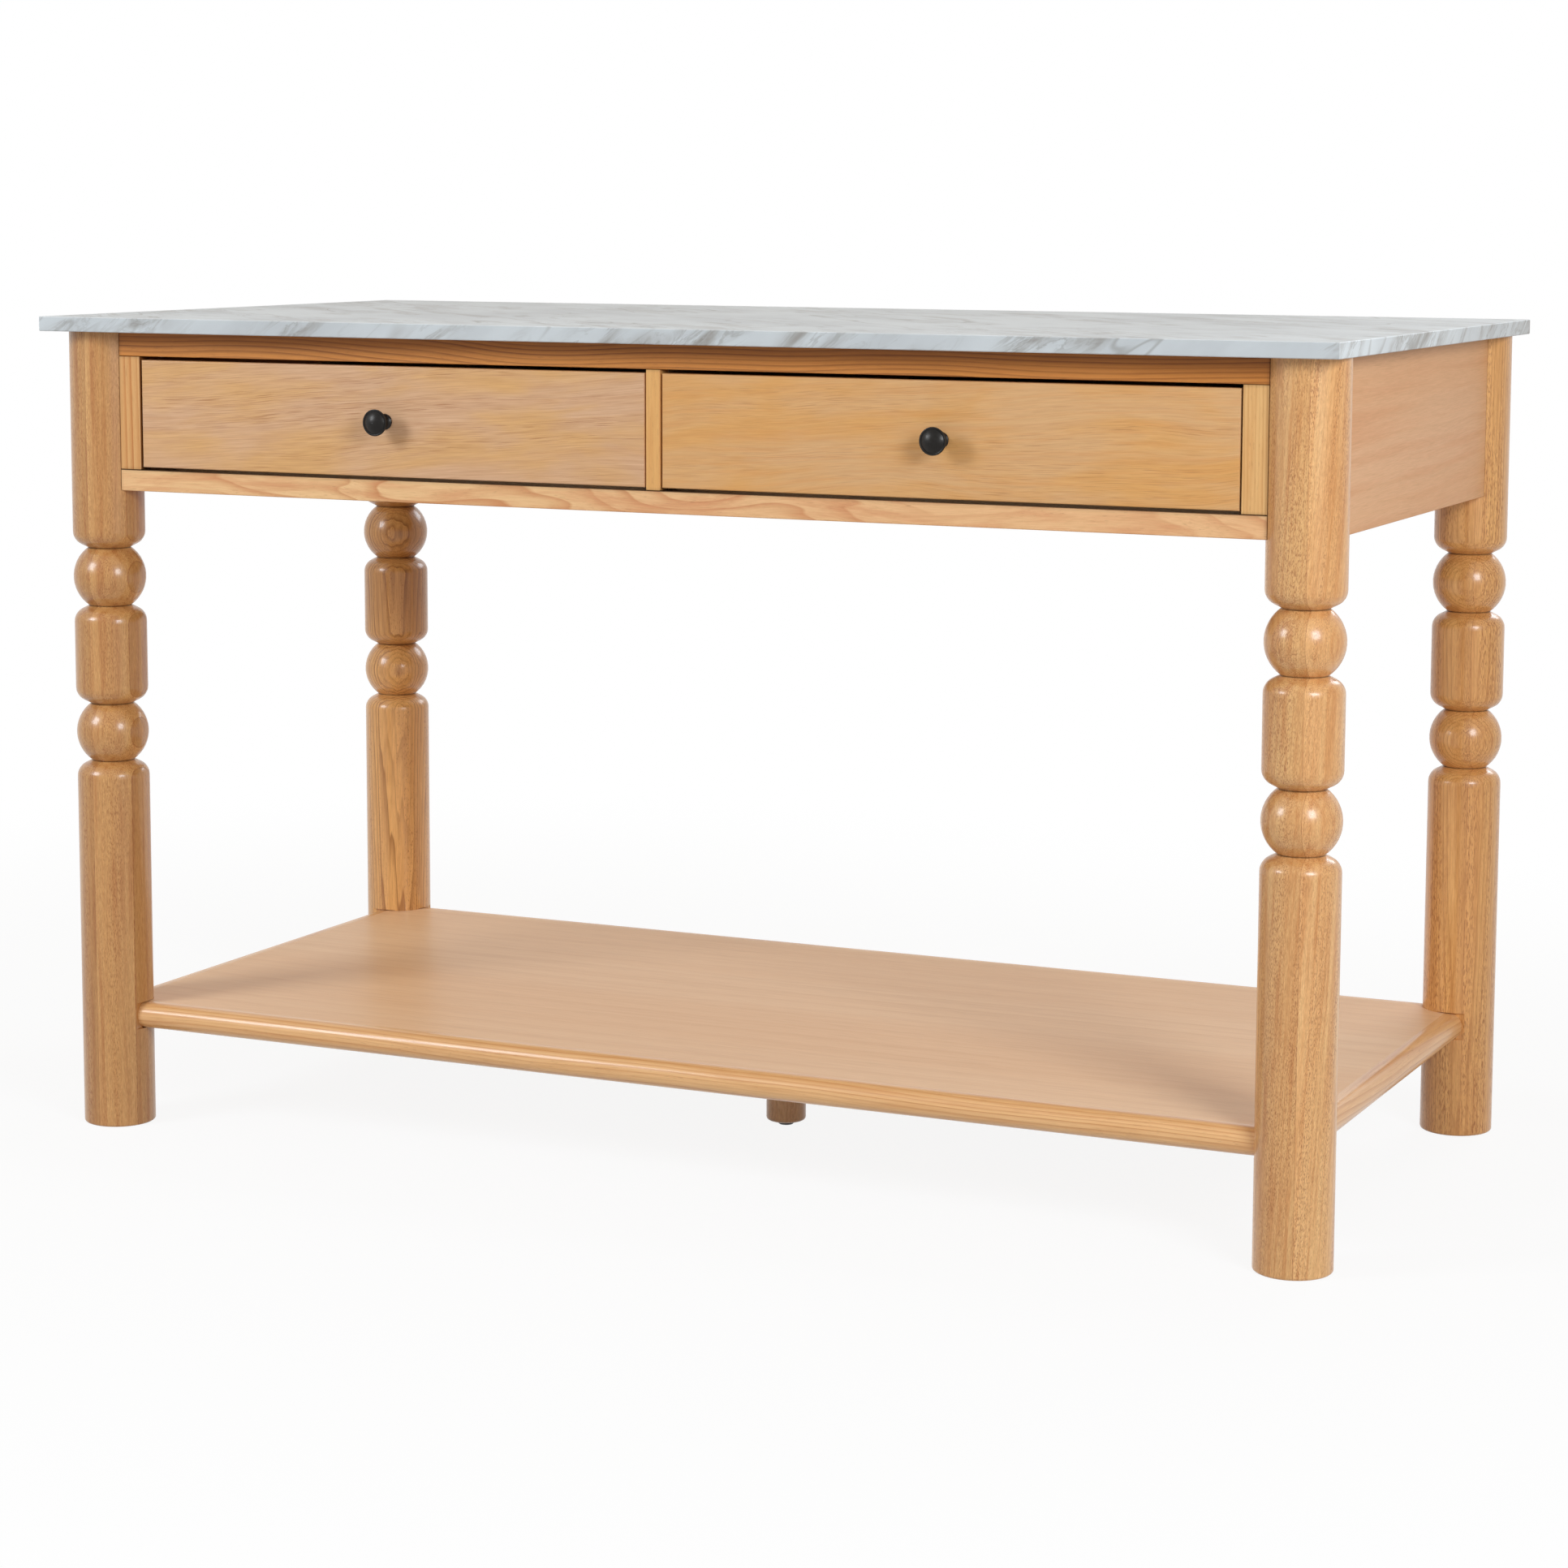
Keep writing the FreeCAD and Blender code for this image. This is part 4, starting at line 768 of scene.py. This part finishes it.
def paint_hardware(fastener):
    black = knob_material()
    slide = steel_material("slide_steel", "Y", SLIDE_TONE)
    for name in nodes:
        if name.endswith("_knob"):
            paint(name, black)
        elif "_slide_" in name:
            paint(name, slide)
    for name in FASTENERS:
        paint(name, fastener)


# Screws that hold the slides to the drawers, in millimetres

SHEET = 1.2              # the slides' sheet
SCREW_END = 37.0         # from a slide's end to its first screw
HEAD_CORNERS = 24
# Radius and height above the sheet, from the shank to the head's flat top
HEAD_PROFILE = ((2.1, -1.0), (2.1, 0.05), (3.7, 0.05), (3.7, 0.7), (3.4, 1.25), (2.8, 1.6))
CROSS_REACH = 1.9
CROSS_HALF = 0.45
CROSS_DEPTH = 1.1
CROSS_TAPER = 0.6        # the recess's size at its floor, as a share of that at its mouth
SCREW_TURN = 0.65        # how much further each screw is turned than the one before


def circle(radius):
    angles = [math.tau * step / HEAD_CORNERS for step in range(HEAD_CORNERS)]
    return [(radius * math.cos(angle), radius * math.sin(angle)) for angle in angles]


def cross(share):
    """The twelve corners of the recess, in order."""
    reach = CROSS_REACH * share
    half = CROSS_HALF * share
    corners = []
    for turn in range(4):
        quarter = Matrix.Rotation(turn * math.tau / 4, 2)
        for corner in ((reach, -half), (reach, half), (half, half)):
            corners.append(tuple(quarter @ Vector(corner)))
    return corners


def make_head(shape, placed):
    """A pan head with a cross recess. placed turns its own coordinates into a place on the part."""
    def ring(corners, height):
        return [shape.verts.new(placed(u, v, height)) for u, v in corners]

    def skirt(lower, upper):
        for index in range(len(lower)):
            shape.faces.new((lower[index - 1], lower[index], upper[index], upper[index - 1]))

    rings = [ring(circle(radius), height) for radius, height in HEAD_PROFILE]
    for lower, upper in zip(rings, rings[1:]):
        skirt(lower, upper)
    shape.faces.new(rings[0])
    top = HEAD_PROFILE[-1][1]
    mouth = ring(cross(1.0), top)
    floor = ring(cross(CROSS_TAPER), top - CROSS_DEPTH)
    skirt(mouth, floor)
    shape.faces.new(floor)
    edges = [shape.edges.get((loop[index - 1], loop[index])) for loop in (rings[-1], mouth)
             for index in range(len(loop))]
    bmesh.ops.triangle_fill(shape, edges=edges, use_beauty=True)


def make_slide_screws(side, material):
    """The screws through the webs of one drawer's inner slide members. Their heads face the walls."""
    shape = bmesh.new()
    for hand, outward in (("left", -1), ("right", 1)):
        low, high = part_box(f"drawer_{side}_{hand}_slide_inner")
        face = (high.x if outward < 0 else low.x) + outward * SHEET / MM
        rows = (low.y + SCREW_END / MM, (low.y + high.y) / 2, high.y - SCREW_END / MM)
        for number, row in enumerate(rows):
            turn = Matrix.Rotation(number * SCREW_TURN, 2)

            def placed(u, v, height):
                along, up = turn @ Vector((u, v)) / MM
                return Vector((face + outward * height / MM, row + along, (low.z + high.z) / 2 + up))

            make_head(shape, placed)
    bmesh.ops.recalc_face_normals(shape, faces=shape.faces)
    mesh = bpy.data.meshes.new(f"slide_screws_{side}")
    shape.to_mesh(mesh)
    shape.free()
    mesh.materials.append(material)
    screws = bpy.data.objects.new(f"slide_screws_{side}", mesh)
    bpy.context.scene.collection.objects.link(screws)
    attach(screws, f"{side}_drawer")


# Floor and world

FLOOR_HALF = 30.0
FLOOR_PALE = 0.9         # the floor's own colour, as it is seen
FLOOR_BOUNCE = 0.7       # how much light the floor gives back
FLOOR_ROUGHNESS = 0.9
FLOOR_NEAR = 0.9         # how much of the floor's look is plain white close to the object
FLOOR_FADE = 1.8         # how far from the object the floor has faded to white
AMBIENT = 0.31
WARM = (1.0, 0.80, 0.60, 1.0)


def seen_directly(shader):
    """1 for rays that look at the background, straight or in a reflection."""
    path = shader.add("ShaderNodeLightPath").outputs
    reflected = shader.math("MAXIMUM", path["Is Glossy Ray"], path["Is Transmission Ray"])
    return shader.math("MAXIMUM", path["Is Camera Ray"], reflected)


class WorldShader(Shader):
    """The world's node tree, with the same methods as a material's."""

    def __init__(self, world):
        world.use_nodes = True
        self.tree = world.node_tree
        self.surface = self.tree.nodes["Background"]


def make_world():
    world = bpy.data.worlds.new("studio")
    bpy.context.scene.world = world
    shader = WorldShader(world)
    seen = seen_directly(shader)
    shader.set("Color", shader.mix(seen, WARM, grey(1.0)))
    shader.set("Strength", shader.remap(seen, 0, 1, AMBIENT, 1.0, smooth=False))


def floor_material():
    """Pale, and keeps the object's shadow near it. Further away it fades to the white background."""
    shader = Shader("floor", Roughness=FLOOR_ROUGHNESS, Specular_IOR_Level=0.0)
    seen = seen_directly(shader)
    shader.set("Base Color", shader.mix(seen, grey(FLOOR_BOUNCE), grey(FLOOR_PALE)))
    where = shader.add("ShaderNodeTexCoord").outputs["Object"]
    beyond = shader.vector("SUBTRACT", shader.vector("ABSOLUTE", where), tuple(cad_box[1]))
    beyond = shader.vector("LENGTH", shader.vector("MAXIMUM", beyond, (0, 0, 0)))
    white = shader.remap(beyond, 0.0, FLOOR_FADE, FLOOR_NEAR, 1.0)
    glow = shader.add("ShaderNodeEmission")
    blend = shader.add("ShaderNodeMixShader")
    shader.put(blend.inputs[0], shader.math("MULTIPLY", white, seen))
    shader.put(blend.inputs[1], shader.surface.outputs["BSDF"])
    shader.put(blend.inputs[2], glow.outputs[0])
    shader.put(shader.output.inputs["Surface"], blend.outputs[0])
    return shader.material


def make_floor():
    corners = [(-FLOOR_HALF, -FLOOR_HALF, 0), (FLOOR_HALF, -FLOOR_HALF, 0),
               (FLOOR_HALF, FLOOR_HALF, 0), (-FLOOR_HALF, FLOOR_HALF, 0)]
    mesh = bpy.data.meshes.new("floor")
    mesh.from_pydata(corners, [], [(0, 1, 2, 3)])
    mesh.materials.append(floor_material())
    floor = bpy.data.objects.new("floor", mesh)
    bpy.context.scene.collection.objects.link(floor)


# Lamps, with their power in watts

COOL = (0.86, 0.95, 1.04)
LAMPS = {
    "left_box": {"place": (-2.0, -2.46, 1.96), "target": (0.0, -0.2, 0.6), "size": (1.0, 1.0), "power": 51},
    "right_box": {"place": (2.77, -2.2, 1.82), "target": (0.0, -0.2, 0.6), "size": (1.1, 1.1), "power": 70},
    "back_box": {"place": (0.8, 3.4, 2.4), "target": (0.0, 0.2, 0.5), "size": (1.6, 1.2), "power": 34},
}


def make_lamp(name, place, target, size, power):
    data = bpy.data.lights.new(name, "AREA")
    data.shape = "RECTANGLE"
    data.size, data.size_y = size
    data.energy = power
    data.color = COOL
    lamp = bpy.data.objects.new(name, data)
    lamp.location = place
    lamp.rotation_euler = (Vector(target) - Vector(place)).to_track_quat("-Z", "Y").to_euler()
    bpy.context.scene.collection.objects.link(lamp)


# Camera, with its place and aim fitted to the photograph's outlines

FRAME_PIXELS = 1932
FOCAL_PIXELS = 4556.2
CENTRE_ROW = 800
SENSOR = 36.0            # in millimetres
CAMERA_PLACE = (1.7307, -3.7321, 1.0495)
CAMERA_YAW = 0.4352
CAMERA_PITCH = 0.1223
CAMERA_ROLL = 0.0030


def make_camera():
    data = bpy.data.cameras.new("camera")
    data.sensor_width = SENSOR
    data.lens = FOCAL_PIXELS / FRAME_PIXELS * SENSOR
    data.shift_y = CENTRE_ROW / FRAME_PIXELS - 0.5
    camera = bpy.data.objects.new("camera", data)
    bpy.context.scene.collection.objects.link(camera)
    forward = Vector((-math.sin(CAMERA_YAW) * math.cos(CAMERA_PITCH),
                      math.cos(CAMERA_YAW) * math.cos(CAMERA_PITCH), -math.sin(CAMERA_PITCH)))
    level = Vector((math.cos(CAMERA_YAW), math.sin(CAMERA_YAW), 0))
    upright = level.cross(forward)
    right = level * math.cos(CAMERA_ROLL) + upright * math.sin(CAMERA_ROLL)
    up = right.cross(forward)
    turn = Matrix((right, up, -forward)).transposed().to_4x4()
    camera.matrix_world = Matrix.Translation(CAMERA_PLACE) @ turn
    bpy.context.scene.camera = camera


for leg, leg_look in LEG_LOOKS.items():
    paint_wood(leg, leg_look)
paint_apron()
paint_shelf()
paint("worktop", slab_material())
paint("foot_glide", glide_material())
fastener_steel = steel_material("fastener_steel", "Z", FASTENER_TONE)
paint_hardware(fastener_steel)
for drawer in ("left", "right"):
    paint_drawer(drawer)
    make_slide_screws(drawer, fastener_steel)
make_world()
make_floor()
for lamp_name, lamp_values in LAMPS.items():
    make_lamp(lamp_name, **lamp_values)
make_camera()
bpy.context.scene.view_settings.view_transform = "Standard"
